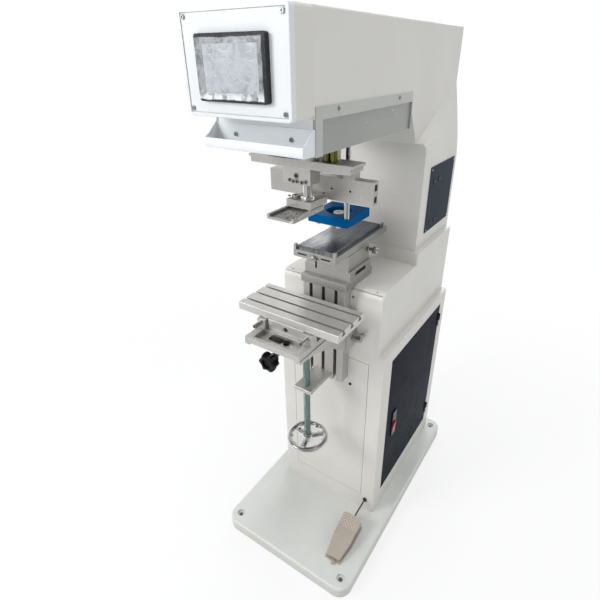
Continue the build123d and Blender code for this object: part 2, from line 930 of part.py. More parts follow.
def truck():
    """Plate on four bearing blocks, with the drive's arm and the rear hanger posts."""
    y1 = truck_y + truck_d
    body = wide(truck_w, truck_y, y1, truck_low, truck_top)
    for x in (-rail_x, rail_x):
        for y in (truck_y, y1 - bearing_d):
            body += slab(x - bearing_w / 2, x + bearing_w / 2, y, y + bearing_d, truck_top,
                         rail_z + bearing_w / 2)
        body -= rod_y(x, truck_y, y1, rail_z, rail_r + slip)
        post_x = math.copysign((post_in + post_out) / 2, x)
        body += rod_z(post_x, pad_y + post_back, carriage_top, truck_low, post_r)
    arm_x = drive_x - drive_arm_w / 2
    body += slab(arm_x, arm_x + drive_arm_w, y1 - drive_arm_t, y1, truck_top, drive_z + drive_arm_w / 2)
    return body - rod_z(pad_x, pad_y, truck_low, truck_top, pad_tube_r + gap)


def drive_rod():
    """Rod of the shuttle drive with its piston."""
    y0 = truck_y + truck_d
    y1 = drive_y + drive_cap_t + stroke_front + drive_cap_t
    rod = rod_y(drive_x, y0, y1, drive_z, drive_rod_r)
    return rod + rod_y(drive_x, y1 - drive_cap_t / 2, y1, drive_z, drive_r - wall - gap)


def hanger_posts():
    """Four posts between the truck and the carriage plate."""
    places = [-post_out, -post_in, post_in, post_out]
    return group(*[rod_z(x, pad_y, carriage_top, truck_low, post_r) for x in places])


def carriage_plate():
    """Cross plate of the carriage, stepped at its lower ends."""
    y1 = carriage_y + carriage_d
    layer = carriage_t / 3
    plate = wide(carriage_w, carriage_y, y1, carriage_top - layer, carriage_top)
    plate += wide(carriage_w - 2 * carriage_step, carriage_y, y1, carriage_low, carriage_top - layer)
    return plate - rod_z(pad_x, pad_y, carriage_low, carriage_top, pad_rod_r + slip)


def guide_block():
    """Guide of the pad rod under the carriage plate, with screws in its front."""
    x0 = pad_x - guide_block_left
    x1 = x0 + guide_block_w
    y0 = pad_y - guide_block_ahead
    low = carriage_low - guide_block_h
    block = eased(slab(x0, x1, y0, y0 + guide_block_d, low, carriage_low), edge_r / 2)
    block -= rod_z(pad_x, pad_y, low, carriage_low, pad_rod_r + slip)
    middle = (x0 + x1) / 2
    r = guide_block_h / 6
    block -= rod_y(middle, y0, y0 + r, carriage_low - guide_block_h / 2, r)
    block += rod_y(middle, y0 + r / 3, y0 + r, carriage_low - guide_block_h / 2, r * 2 / 3)
    for x in (middle - 3 * r, middle, middle + 3 * r):
        block -= rod_y(x, y0, y0 + r, low + r, r / 3)
    return block


def pad_cylinder():
    """Air cylinder of the pad on the carriage plate."""
    top = carriage_top + pad_tube_h
    tube = rod_z(pad_x, pad_y, carriage_top, top, pad_tube_r)
    tube -= rod_z(pad_x, pad_y, carriage_top + pad_tube_cap, top - pad_tube_cap, pad_tube_r - pad_tube_wall)
    return tube - rod_z(pad_x, pad_y, carriage_top, carriage_top + pad_tube_cap, pad_rod_r + slip)


def bar_hanger():
    """Bracket under the carriage plate that holds the cross bar by two ears."""
    y0 = carriage_y + carriage_d - hanger_lap
    y1 = bar_y + bar_d
    plate = wide(hanger_w, y0, y1, carriage_low - hanger_t, carriage_low)
    for side in (-1, 1):
        x = side * (hanger_w - hanger_ear) / 2
        plate += slab(x - hanger_ear / 2, x + hanger_ear / 2, bar_y, y1, bar_top, carriage_low - hanger_t)
    return plate


def cross_bar():
    """Cross bar with screw holes in front and a pocket in each end."""
    low = bar_top - bar_h
    bar = eased(wide(bar_w, bar_y, bar_y + bar_d, low, bar_top), edge_r / 2)
    middle = low + bar_h / 2
    for x in (-bar_hole_out, -bar_hole_in, bar_hole_in, bar_hole_out):
        bar -= rod_y(x, bar_y, bar_y + bar_d / 2, middle, bar_hole_r)
    depth = bar_y + bar_d / 2
    for side in (-1, 1):
        x = side * (bar_w - bar_pocket_deep) / 2
        for z in (low + bar_h / 4, low + bar_h * 3 / 4):
            bar -= slab(x - bar_pocket_deep / 2, x + bar_pocket_deep / 2, depth - bar_pocket_d / 2,
                        depth + bar_pocket_d / 2, z - bar_pocket_h / 2, z + bar_pocket_h / 2)
    return bar


def rod_guides():
    """Guides of the cup holder's rods on the bar's back."""
    found = []
    for x in (-cup_rod_x, cup_rod_x):
        block = slab(x - guide_w / 2, x + guide_w / 2, guide_y, guide_y + guide_d, guide_low, guide_top)
        block = eased(block, edge_r / 2)
        found.append(block - rod_z(x, cup_rod_y, guide_low, guide_top, cup_rod_r + slip))
    return group(*found)


# Pad slide


def pad_rod():
    """Chromed pad rod with its foot flange and its piston."""
    low = pad_block_low + pad_block_h
    piston_top = carriage_top + pad_tube_h - pad_tube_cap - piston_t
    rod = rod_z(pad_x, pad_y, low, piston_top, pad_rod_r)
    rod += rod_z(pad_x, pad_y, low, low + pad_flange_t, pad_flange_r)
    return rod + rod_z(pad_x, pad_y, piston_top - piston_t, piston_top, pad_tube_r - pad_tube_wall - gap)


def pad_block():
    """Block on the pad tray with a screwed boss beside the rod."""
    y0 = pad_y - pad_block_ahead
    top = pad_block_low + pad_block_h
    block = eased(wide(pad_block_w, y0, y0 + pad_block_d, pad_block_low, top), edge_r / 2)
    block += rod_z(pad_boss_x, pad_y, top, top + pad_boss_h, pad_boss_r)
    return block - rod_z(pad_boss_x, pad_y, top + pad_boss_h / 2, top + pad_boss_h, pad_boss_r / 2)


def pad_tray():
    """Channel that carries the printing pad: side rims, two rows of holes and a cross slot."""
    y0 = pad_y - tray_ahead
    y1 = y0 + tray_d
    low = pad_block_low - tray_t
    tray = wide(tray_w, y0, y1, low, pad_block_low)
    tray -= wide(tray_w - 2 * tray_rim, y0, y1, low + tray_floor, pad_block_low)
    for x in (-tray_hole_x, tray_hole_x):
        for row in range(tray_rows):
            y = y0 + tray_hole_in + row * tray_hole_y
            tray -= rod_z(x, y, low, low + tray_floor, tray_hole_r)
    y = y0 + tray_hole_in + tray_rows * tray_hole_y
    return tray - wide(2 * tray_hole_x + 2 * tray_hole_r, y - tray_hole_r, y, low, low + tray_floor)


# Cup holder


def cup_holder():
    """Blue holder block with a round pocket for the ink cup's pin."""
    block = upright(wide(holder_w, holder_y, holder_y + holder_d, holder_low, holder_top), holder_corner_r)
    block = chamfer(block.faces().sort_by(Axis.Z)[-1].edges(), edge_r / 2)
    return block - rod_z(0, cup_y, holder_top - pocket_deep, holder_top, pocket_r)


def cup_rods():
    """Two chromed rods that stand on the holder and slide in the guides."""
    top = guide_top + cup_rod_over
    return group(*[rod_z(x, cup_rod_y, holder_top, top, cup_rod_r) for x in (-cup_rod_x, cup_rod_x)])


def holder_pads():
    """Pale seat in the holder's pocket and two pale feet under its front edge."""
    floor = holder_top - pocket_deep
    seat = rod_z(0, cup_y, floor, floor + seat_h, seat_r)
    seat -= rod_z(0, cup_y, floor, floor + seat_h, seat_hole_r)
    feet = [rod_z(x, holder_y + foot_in + foot_r / 2, holder_low - foot_h, holder_low, foot_r)
            for x in (-foot_x, foot_x)]
    return group(seat, *feet)


# Printing plate and its stage


def pedestal():
    """Plate on the body's top that reaches over the slide rail."""
    y1 = front_y + pedestal_tail
    return eased(wide(pedestal_w, front_y - pedestal_nose, y1, torso_top, pedestal_top), edge_r / 2)


def stage_base():
    """Lower block of the stage with a slot in each side."""
    y1 = stage_y + stage_d
    block = eased(wide(stage_base_w, stage_y, y1, pedestal_top, stage_mid), edge_r / 2)
    middle_y = stage_y + stage_d / 2
    middle_z = (pedestal_top + stage_mid) / 2
    for side in (-1, 1):
        x = side * (stage_base_w - stage_slot_deep) / 2
        block -= slab(x - stage_slot_deep / 2, x + stage_slot_deep / 2, middle_y - stage_slot_d / 2,
                      middle_y + stage_slot_d / 2, middle_z - stage_slot_h / 2, middle_z + stage_slot_h / 2)
    return block


def stage_block():
    """Upper block of the stage, which slides sideways on the lower one."""
    return eased(wide(stage_w, stage_y, stage_y + stage_d, stage_mid, stage_top), edge_r / 2)


def fine_knob():
    """Knurled knob that shifts the stage sideways."""
    x0 = stage_w / 2
    y = stage_y + stage_d - fine_knob_r
    z = stage_top - fine_knob_r - edge_r
    shaft = rod_x(x0, x0 + fine_shaft_len, y, z, fine_shaft_r)
    return shaft + rod_x(x0 + fine_shaft_len, x0 + fine_shaft_len + fine_knob_t, y, z, fine_knob_r)


def plate_bed():
    """Bed of the printing plate: two slots in its front and a clamp at each corner."""
    y1 = bed_y + bed_d
    bed = eased(wide(bed_w, bed_y, y1, stage_top, bed_top), edge_r / 2)
    middle = stage_top + bed_t / 2
    for side in (-1, 1):
        x = side * bed_slot_x
        bed -= slab(x - bed_slot_w / 2, x + bed_slot_w / 2, bed_y, bed_y + bed_slot_deep,
                    middle - bed_slot_h / 2, middle + bed_slot_h / 2)
        x = side * (bed_w - clamp_w - edge_r) / 2
        for y in (bed_y + edge_r, bed_y + plate_in + plate_d + edge_r):
            bed += slab(x - clamp_w / 2, x + clamp_w / 2, y, y + clamp_d, bed_top, bed_top + clamp_h)
    return bed


def printing_plate():
    """Etched printing plate on the bed."""
    y0 = bed_y + plate_in
    return eased(wide(plate_w, y0, y0 + plate_d, bed_top, plate_top), edge_r / 2)


def fine_screw():
    """Screw in the bed's front that shifts the bed lengthways."""
    return Pos(0, bed_y, stage_top + bed_t / 2) * Rot(90, 0, 0) * screw_head(fine_screw_r, fine_screw_t)


# Slide rail, knee, riser and table


def slide_rail():
    """Upright slide rail with three T grooves."""
    rail = wide(slide_w, slide_y, front_y, slide_low, torso_top)
    for x in (-groove_pitch, 0, groove_pitch):
        rail -= slab(x - groove_w / 2, x + groove_w / 2, slide_y, slide_y + groove_neck, slide_low, torso_top)
        rail -= slab(x - groove_head_w / 2, x + groove_head_w / 2, slide_y + groove_neck,
                     slide_y + groove_neck + groove_head_t, slide_low, torso_top)
    return rail


def gusset(x0, x1):
    """Curved rib between the knee's top and its back plate."""
    tip = knee_y + edge_r * 2
    low = knee_low - gusset_nose
    flat = tip + gusset_flat
    share_y, share_z = gusset_bow_shares
    middle_y = flat + (knee_back_y - flat) * share_y
    middle_z = low - (low - knee_foot) * share_z
    outline = Wire([
        Edge.make_line((x0, tip, knee_low), (x0, tip, low)),
        Edge.make_line((x0, tip, low), (x0, flat, low)),
        Edge.make_three_point_arc((x0, flat, low), (x0, middle_y, middle_z), (x0, knee_back_y, knee_foot)),
        Edge.make_line((x0, knee_back_y, knee_foot), (x0, knee_back_y, knee_low)),
        Edge.make_line((x0, knee_back_y, knee_low), (x0, tip, knee_low))])
    return extrude(Face(outline), x1 - x0, dir=(1, 0, 0))


def knee():
    """Bracket that rides the slide rail: pocketed top, two ribs, back plate, cheeks and lugs."""
    back = slide_y - gap
    body = wide(knee_w, knee_y, back, knee_low, knee_top)
    pocket_y = knee_y + pocket_rim
    body -= wide(pocket_w, pocket_y, pocket_y + pocket_d, knee_low + pocket_floor, knee_top)
    body -= slab(pocket_slot_x - pocket_slot_w / 2, pocket_slot_x + pocket_slot_w / 2,
                 pocket_y + pocket_d - pocket_slot_d, pocket_y + pocket_d, knee_low, knee_top)
    body += wide(knee_back_w, knee_back_y, back, knee_foot, knee_top)
    outer = knee_w / 2 + gusset_out
    lug_y = knee_y + lug_back
    side_parts = gusset(outer - gusset_w, outer)
    side_parts += slab(slide_w / 2 + gap, knee_back_w / 2, knee_back_y, knee_back_y + cheek_d,
                       knee_foot, knee_top)
    lug = slab(lug_in, lug_in + lug_w, lug_y, lug_y + lug_d, knee_top, knee_top + lug_h)
    hole_x = lug_in + lug_w / 2
    side_parts += lug - rod_y(hole_x, lug_y, lug_y + lug_d, knee_top + adjust_rise, adjust_shank_r + slip)
    return body + side_parts + mirrored(side_parts)


def adjust_screws():
    """Socket screws in the knee's two lugs."""
    found = []
    y = knee_y + lug_back
    z = knee_top + adjust_rise
    for side in (-1, 1):
        x = side * (lug_in + lug_w / 2)
        head = Pos(x, y, z) * Rot(90, 0, 0) * screw_head(adjust_r, adjust_len)
        found.append(head + rod_y(x, y, y + lug_d, z, adjust_shank_r))
    return group(*found)


def riser():
    """Block between knee and table with a blind hole in its front."""
    y1 = riser_y + riser_d
    block = eased(wide(riser_w, riser_y, y1, knee_top, riser_top), edge_r / 2)
    return block - rod_y(0, riser_y, riser_y + riser_hole_deep, knee_top + riser_h / 2, riser_hole_r)


def table():
    """Work table with three T slots along X."""
    y0 = riser_y
    y1 = y0 + table_d
    top = wide(table_w, y0, y1, riser_top, table_top)
    top = fillet(top.edges().filter_by(Axis.X), table_edge)
    for offset in (-slot_pitch, 0, slot_pitch):
        y = slot_y + offset
        top -= wide(table_w, y - slot_w / 2, y + slot_w / 2, table_top - slot_lip, table_top)
        top -= wide(table_w, y - slot_head_w / 2, y + slot_head_w / 2,
                    table_top - slot_lip - slot_head_h, table_top - slot_lip)
    return top


def lock_knob():
    """Lobed clamp knob on a long stud from the knee's back plate."""
    z = knee_foot + knob_z
    y0 = knee_back_y - knob_reach
    lobe_x = knob_r - knob_lobe_r
    body = Cylinder(lobe_x, knob_t)
    for lobe in range(knob_lobes):
        body += Rot(0, 0, lobe * 360 / knob_lobes) * Pos(lobe_x, 0, 0) * Cylinder(knob_lobe_r, knob_t)
    knob = Pos(knob_x, y0 + knob_t / 2, z) * Rot(90, 0, 0) * body
    knob += rod_y(knob_x, y0 + knob_t, y0 + knob_t + knob_hub_t, z, knob_hub_r)
    return knob + rod_y(knob_x, y0 + knob_t + knob_hub_t, knee_back_y, z, knob_stud_r)


def side_lock():
    """Knurled clamp screw in the knee's right cheek."""
    y = knee_back_y + cheek_d - side_lock_r
    z = knee_foot + side_lock_z
    x0 = knee_back_w / 2
    x1 = x0 + side_lock_shank
    return rod_x(x0, x1, y, z, side_lock_shank_r) + rod_x(x1, x1 + side_lock_t, y, z, side_lock_r)


# Lead screw and hand wheel


def lead_screw():
    """Lead screw between hand wheel and knee, with a thrust collar."""
    top = knee_low - gap
    screw = rod_z(0, lead_y, wheel_z + hub_h / 2, top, lead_r)
    return screw + rod_z(0, lead_y, top - lead_collar_t, top, lead_collar_r)


def screw_bracket():
    """Bracket on the slide rail with the lead screw's thread."""
    y0 = slide_y - bracket_reach
    plate = eased(wide(bracket_w, y0, slide_y, bracket_low, bracket_low + bracket_t), edge_r / 2)
    return plate - rod_z(0, lead_y, bracket_low, bracket_low + bracket_t, lead_r + slip)


def handwheel():
    """Chromed hand wheel with a round rim, a hub and spokes."""
    ring = wheel_r - wheel_rim_r
    wheel = Torus(ring, wheel_rim_r) + Cylinder(hub_r, hub_h)
    spoke = slab(hub_r / 2, ring, -spoke_w / 2, spoke_w / 2, -spoke_t / 2, spoke_t / 2)
    for turn in range(spokes):
        wheel += Rot(0, 0, spoke_turn + turn * 360 / spokes) * spoke
    return Pos(0, lead_y, wheel_z) * wheel


# Foot pedal


def pedal_place():
    """Where the pedal's middle stands on the base, turned towards the operator."""
    return Pos(pedal_x, pedal_y, base_t) * Rot(0, 0, pedal_turn)


def pedal_space(grow, low_heel, low_toe, top_heel, top_toe):
    """Solid over the pedal's plan between two slanted planes, given at the heel and at the toe."""
    heel = -pedal_len / 2
    waist = heel + pedal_len * pedal_waist_share
    half = [(pedal_heel_w / 2 + grow, heel - grow), (pedal_waist_w / 2 + grow, waist),
            (pedal_toe_w / 2 + grow, grow - heel)]
    points = half + [(-x, y) for x, y in reversed(half)]
    plan = extrude(Face(Wire.make_polygon([(x, y, 0) for x, y in points])), 2 * pedal_toe_h)
    plan = fillet(plan.edges().filter_by(Axis.Z).group_by(Axis.Y)[-1], pedal_corner_r)
    rise_low = low_toe - low_heel
    rise_top = top_toe - top_heel
    band = [(2 * heel, low_heel - rise_low / 2), (-2 * heel, low_toe + rise_low / 2),
            (-2 * heel, top_toe + rise_top / 2), (2 * heel, top_heel - rise_top / 2)]
    return plan & prism_x(band, -pedal_len, pedal_len)


def pedal_base():
    """Pedal's base with its pin on two ears, the cable's strain relief and a heel screw."""
    body = pedal_space(pedal_base_out, 0, 0, pedal_base_t, pedal_base_t)
    y = pedal_pin_in - pedal_len / 2
    for side in (-1, 1):
        x = side * (pedal_ear_x + pedal_ear / 2)
        reach = pedal_pin_r + edge_r
        body += slab(x - pedal_ear / 2, x + pedal_ear / 2, y - reach, y + reach, pedal_base_t,
                     pedal_pin_rise + pedal_pin_r + edge_r / 2)
    reach = pedal_ear_x + pedal_ear
    body += rod_x(-reach, reach, y, pedal_pin_rise, pedal_pin_r)
    heel = -pedal_len / 2 - pedal_base_out
    body += rod_y(pedal_nub_x, heel - pedal_nub_len, heel, pedal_nub_r, pedal_nub_r)
    body = pedal_place() * body
    end = Vector(*cable_points[-1])
    return body + slab(end.X - relief_w / 2, end.X + relief_w / 2, end.Y - relief_d, end.Y,
                       base_t + pedal_base_t, end.Z + cable_r * 3 / 2)


def pedal_tread():
    """Sloping tread with side skirts, open at the toe, on a boss round the base's pin."""
    body = pedal_space(0, pedal_heel_h - pedal_skirt_deep, pedal_toe_h - 2 * pedal_skirt_deep,
                       pedal_heel_h, pedal_toe_h)
    hollow = pedal_space(-pedal_skirt, 0, 0, pedal_heel_h - pedal_skirt, pedal_toe_h - pedal_t)
    body -= hollow
    body -= Pos(0, 2 * pedal_skirt, 0) * hollow
    y = pedal_pin_in - pedal_len / 2
    half = pedal_ear_x - gap
    boss = rod_x(-half, half, y, pedal_pin_rise, 2 * pedal_pin_r)
    boss += slab(-half, half, y - 2 * pedal_pin_r, y + 2 * pedal_pin_r, pedal_pin_rise, pedal_heel_h)
    body += boss & pedal_space(0, 0, 0, pedal_heel_h, pedal_toe_h)
    body -= rod_x(-half, half, y, pedal_pin_rise, pedal_pin_r + slip)
    return pedal_place() * body


def cable_gland():
    """Gland of the pedal's cable in the cabinet's front."""
    gland = rod_y(gland_x, front_y - gland_t, front_y, gland_z, gland_r)
    gland = chamfer(gland.edges().group_by(Axis.Y)[0], edge_r)
    return gland + rod_y(gland_x, front_y, front_y + gland_body, gland_z, gland_body_r)


def cable_radii():
    """Bend radius at each inner point of the cable's route."""
    points = [Vector(*place) for place in cable_points]
    radii = []
    for before, here, after in zip(points, points[1:], points[2:]):
        turn = math.radians((here - before).get_angle(after - here))
        shorter = min((here - before).length, (after - here).length)
        radii.append(cable_bend_share * shorter / math.tan(turn / 2))
    return radii


def pedal_cable():
    """Cable between the cabinet's gland and the pedal."""
    radii = cable_radii()
    print("cable radii", [round(r, 1) for r in radii])
    route = FilletPolyline(*cable_points, radius=radii)
    start = Plane(origin=route @ 0, z_dir=route % 0)
    tube = sweep(start * Circle(cable_r), path=route)
    share = tube.volume / (math.pi * cable_r ** 2 * route.length)
    print("cable length", round(route.length, 1), "volume over section times length", round(share, 4))
    return tube


if __name__ == "__main__":
    os.makedirs("parts", exist_ok=True)
    pieces = [
        base_plate, cabinet, front_panel, side_door, switch_plate, rocker, control_box, torso, column, hood,
        control_panel, face_box, face_cover, screen_bezel, screen_glass, housing, side_covers, guard,
        cover_screws, rail_frame, shuttle_rails, shuttle_drive, truck, drive_rod, hanger_posts,
        carriage_plate, guide_block, pad_cylinder, bar_hanger, cross_bar, rod_guides, pad_rod, pad_block,
        pad_tray, cup_holder, cup_rods, holder_pads, pedestal, stage_base, stage_block, fine_knob,
        plate_bed, printing_plate, fine_screw, slide_rail, knee, adjust_screws, riser, table, lock_knob,
        side_lock, lead_screw, screw_bracket, handwheel, pedal_base, pedal_tread, cable_gland, pedal_cable]
    for make in pieces:
        export_step(make(), os.path.join("parts", make.__name__ + ".step"))
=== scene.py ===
import math
import bmesh
import bpy
from mathutils import Matrix, Vector


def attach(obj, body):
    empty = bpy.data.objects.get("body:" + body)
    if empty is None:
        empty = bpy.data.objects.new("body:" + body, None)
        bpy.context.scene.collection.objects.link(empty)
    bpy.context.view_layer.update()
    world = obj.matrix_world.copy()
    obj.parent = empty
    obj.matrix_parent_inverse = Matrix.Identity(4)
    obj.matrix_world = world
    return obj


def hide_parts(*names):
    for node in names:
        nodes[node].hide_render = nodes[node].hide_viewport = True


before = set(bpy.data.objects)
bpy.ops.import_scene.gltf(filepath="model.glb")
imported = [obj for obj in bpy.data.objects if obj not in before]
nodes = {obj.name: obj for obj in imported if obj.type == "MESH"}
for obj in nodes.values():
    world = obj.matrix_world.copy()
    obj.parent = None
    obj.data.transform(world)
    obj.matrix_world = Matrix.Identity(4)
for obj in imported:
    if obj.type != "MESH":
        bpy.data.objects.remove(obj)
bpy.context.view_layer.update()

# A pad printing machine on its floor base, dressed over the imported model. Metres throughout.

front_colour = (0.715, 0.735, 0.74)
body_colour = (0.66, 0.645, 0.605)
wheel_centre = (0.0, -0.234, 0.384)
merge_distance = 0.00001
sharp_angle = 38.0


# Camera


def place_camera():
    """Camera at the photograph's place, with the lens and shift that fit it."""
    eye = Vector((0.5254, -0.9786, 1.3341))
    target = Vector((0.0070, -0.1939, 0.8222))
    data = bpy.data.cameras.new("camera")
    data.sensor_width = 36.0
    data.lens = 26.46
    data.shift_x = -0.0281
    data.shift_y = -0.0074
    data.clip_start = 0.01
    camera = bpy.data.objects.new("camera", data)
    look = (target - eye).to_track_quat("-Z", "Y").to_matrix().to_4x4()
    camera.matrix_world = Matrix.Translation(eye) @ look @ Matrix.Rotation(math.radians(-0.25), 4, "Z")
    bpy.context.collection.objects.link(camera)
    bpy.context.scene.camera = camera


# Materials written as expressions


class Value:
    """A socket's output in an expression: operators add the nodes that work it out."""

    def __init__(self, shader, socket):
        self.shader = shader
        self.socket = socket

    def _math(self, operation, *others):
        return self.shader.node("ShaderNodeMath", {"operation": operation}, self, *others)

    def __add__(self, other):
        return self._math("ADD", other)

    def __sub__(self, other):
        return self._math("SUBTRACT", other)

    def __mul__(self, other):
        return self._math("MULTIPLY", other)

    def __truediv__(self, other):
        return self._math("DIVIDE", other)

    def __rsub__(self, other):
        return self.shader.node("ShaderNodeMath", {"operation": "SUBTRACT"}, other, self)

    def above(self, limit):
        return self._math("GREATER_THAN", limit)

    def below(self, limit):
        return self._math("LESS_THAN", limit)

    def most(self, other):
        return self._math("MAXIMUM", other)

    def least(self, other):
        return self._math("MINIMUM", other)

    def part(self):
        return self._math("FRACT")

    def size(self):
        return self._math("ABSOLUTE")

    def held(self):
        return self.shader.node("ShaderNodeClamp", {}, self)

    def spread(self, low, high, to_low=0.0, to_high=1.0):
        """The value moved from one range to another, smoothly and held at its ends."""
        return self.shader.node("ShaderNodeMapRange", {"interpolation_type": "SMOOTHSTEP"}, self,
                                low, high, to_low, to_high)

    def axis(self, name):
        """One of x, y and z of a vector."""
        return self.shader.node("ShaderNodeSeparateXYZ", {}, self, output=name)


class Finish:
    """A material under construction, with its principled shader."""

    def __init__(self, name, **constants):
        self.material = bpy.data.materials.new(name)
        self.material.use_nodes = True
        self.tree = self.material.node_tree
        self.shader = self.tree.nodes["Principled BSDF"]
        self.set(**constants)

    def node(self, kind, settings, *values, output=0, **named):
        """A node of a kind with its settings, the values of its sockets and one of its outputs."""
        made = self.tree.nodes.new(kind)
        for key, value in settings.items():
            setattr(made, key, value)
        sockets = [s for s in made.inputs if s.enabled]
        by_name = [(self._named(sockets, key), value) for key, value in named.items()]
        for socket, value in list(zip(sockets, values)) + by_name:
            self._feed(socket, value)
        outputs = [s for s in made.outputs if s.enabled]
        found = outputs[output] if isinstance(output, int) else made.outputs[output]
        return Value(self, found)

    @staticmethod
    def _named(sockets, name):
        wanted = name.replace("_", " ")
        return next(s for s in sockets if s.name == wanted)

    def _feed(self, socket, value):
        if isinstance(value, Value):
            self.tree.links.new(value.socket, socket)
        else:
            socket.default_value = value

    def place(self, scale=(1.0, 1.0, 1.0), turn=(0.0, 0.0, 0.0), move=(0.0, 0.0, 0.0)):
        """Object coordinates, scaled, turned and moved."""
        at = self.node("ShaderNodeTexCoord", {}, output="Object")
        return self.node("ShaderNodeMapping", {}, at, move, turn, scale)

    def noise(self, scale, detail=4.0, roughness=0.55, at=None, distortion=0.0):
        """Noise between 0 and 1."""
        at = at or self.place()
        return self.node("ShaderNodeTexNoise", {}, at, scale, detail, roughness, 2.0, distortion)

    def cells(self, scale):
        """Distance to the nearest cell point."""
        return self.node("ShaderNodeTexVoronoi", {}, self.place(), scale, output="Distance")

    def mix(self, factor, first, second):
        """Two colours mixed by a factor."""
        return self.node("ShaderNodeMix", {"data_type": "RGBA"}, factor, first, second)

    def edges(self, radius):
        """1 along the piece's sharp edges, 0 on its faces."""
        bevel = self.node("ShaderNodeBevel", {"samples": 4}, radius)
        flat = self.node("ShaderNodeNewGeometry", {}, output="Normal")
        dot = self.node("ShaderNodeVectorMath", {"operation": "DOT_PRODUCT"}, bevel, flat, output="Value")
        return dot.spread(0.999, 0.9, 0.0, 1.0)

    def set(self, **values):
        """Feeds the shader's sockets, with spaces for the underscores of their names."""
        for name, value in values.items():
            self._feed(self.shader.inputs[name.replace("_", " ")], value)
        return self

    def bump(self, height, distance, strength):
        """Feeds the shader's normal with a bump of a height, its distance in metres."""
        normal = self.node("ShaderNodeBump", {}, strength, distance, Height=height)
        return self.set(Normal=normal)


def grey(level):
    """A grey as a colour with alpha."""
    return (level, level, level, 1.0)


def tone(colour, share):
    """A colour made darker or lighter by a share."""
    return tuple(min(1.0, c * share) for c in colour[:3]) + (1.0,)


# Finishes


def powder_coat(name, colour, rough=0.42, coat=0.12, behind=None):
    """Fine orange-peel powder coat with faint clouding and edge wear, in another colour behind a front."""
    seam_front, seam_back = -0.406, -0.400
    f = Finish(name, Metallic=0.0, IOR=1.48, Coat_Roughness=0.25)
    cloud = f.noise(2.6, 3.0)
    fine = f.noise(900.0, 2.0)
    peel = f.noise(420.0, 3.0)
    base = f.mix(cloud.spread(0.3, 0.7), tone(colour, 0.965), tone(colour, 1.03))
    if behind:
        base = f.mix(f.place().axis("Y").spread(seam_front, seam_back), base, tone(behind, 1.0))
    base = f.mix(fine.spread(0.45, 0.6) * 0.05, base, tone(colour, 0.8))
    worn = f.edges(0.0025) * f.noise(60.0).spread(0.5, 0.75)
    base = f.mix(worn * 0.35, base, tone(colour, 1.12))
    smear = f.noise(7.0, 5.0, 0.6, f.place((1.0, 1.0, 0.35)))
    f.set(Base_Color=base, Roughness=smear.spread(0.3, 0.8, rough - 0.05, rough + 0.08),
          Coat_Weight=coat)
    return f.bump(peel, 0.0004, 0.12).material


def gloss_door(name, colour):
    """Smooth dark enamel with soft clouding and fine dust, greener towards the floor."""
    tint_top, tint_low = 0.40, 0.10
    f = Finish(name, Metallic=0.0, Specular_IOR_Level=0.004)
    cloud = f.noise(3.0, 3.0)
    base = f.mix(cloud, tone(colour, 0.8), tone(colour, 1.35))
    height = f.place().axis("Z")
    base = f.mix(height.spread(tint_top, tint_low) * 0.5, base, (0.022, 0.034, 0.032, 1.0))
    dust = f.noise(520.0, 2.0).spread(0.66, 0.78)
    base = f.mix(dust * 0.04, base, grey(0.35))
    f.set(Base_Color=base, Roughness=f.noise(18.0).spread(0.3, 0.8, 0.2, 0.34))
    return f.bump(f.noise(320.0), 0.0003, 0.05).material


def milled(name, colour, rough, stretch=(1.0, 1.0, 14.0), dark=0.75, painted_glint_share=0.0):
    """Machined light metal: drawn grain, faint stains, painted shade in its nooks, painted highlights along
    its edges and perhaps painted glints.
    """
    painted_shade_reach = 0.02
    f = Finish(name, IOR=1.5)
    grain = f.noise(260.0, 3.0, 0.6, f.place(stretch))
    stain = f.noise(9.0, 4.0, 0.55)
    # Painted shade: the colour darkens in nooks and inner corners where shade falls, the more so the larger
    # dark is.
    painted_nook_shade = f.node("ShaderNodeAmbientOcclusion", {"samples": 8, "only_local": True}, grey(1.0), painted_shade_reach,
                  output="AO")
    base = f.mix(grain.spread(0.35, 0.65), tone(colour, 0.84), tone(colour, 1.10))
    base = f.mix(stain.spread(0.45, 0.7) * 0.28, base, tone(colour, 0.66))
    base = f.mix(painted_nook_shade.spread(0.95, 0.45) * dark, base, tone(colour, 0.30))
    # Painted highlight: the colour brightens along the sharp edges.
    base = f.mix(f.edges(0.0016) * 0.75, base, tone(colour, 1.45))
    # Painted glints: small bright spots scattered over the face.
    if painted_glint_share:
        glints = f.cells(150.0).spread(0.30, 0.18) * f.noise(75.0, 2.0).spread(0.45, 0.55)
        base = f.mix(glints * painted_glint_share, base, grey(0.85))
    f.set(Base_Color=base, Metallic=0.6, Specular_IOR_Level=0.2,
          Roughness=(grain * 0.16 + stain * 0.14) + (rough - 0.12))
    return f.bump(grain, 0.0002, 0.25).material


def polished(name, colour, rough):
    """Plated bright metal with slight waviness, small pits, handling marks and a painted reflection, dark
    where it faces the view and bright towards its outline.
    """
    f = Finish(name, Metallic=1.0, IOR=1.5)
    haze = f.noise(30.0, 4.0)
    pits = f.noise(700.0, 2.0).spread(0.66, 0.74)
    # Painted reflection: the colour darkens where the surface faces the view and brightens at grazing
    # angles.
    facing = f.node("ShaderNodeLayerWeight", {}, 0.5, output="Facing")
    base = f.mix((facing + haze * 0.15).spread(0.18, 0.62), tone(colour, 0.26), colour)
    base = f.mix(pits * 0.3, base, tone(colour, 0.5))
    f.set(Base_Color=base, Roughness=haze.spread(0.3, 0.8, rough, rough + 0.12))
    return f.bump(f.noise(90.0), 0.0002, 0.04).material


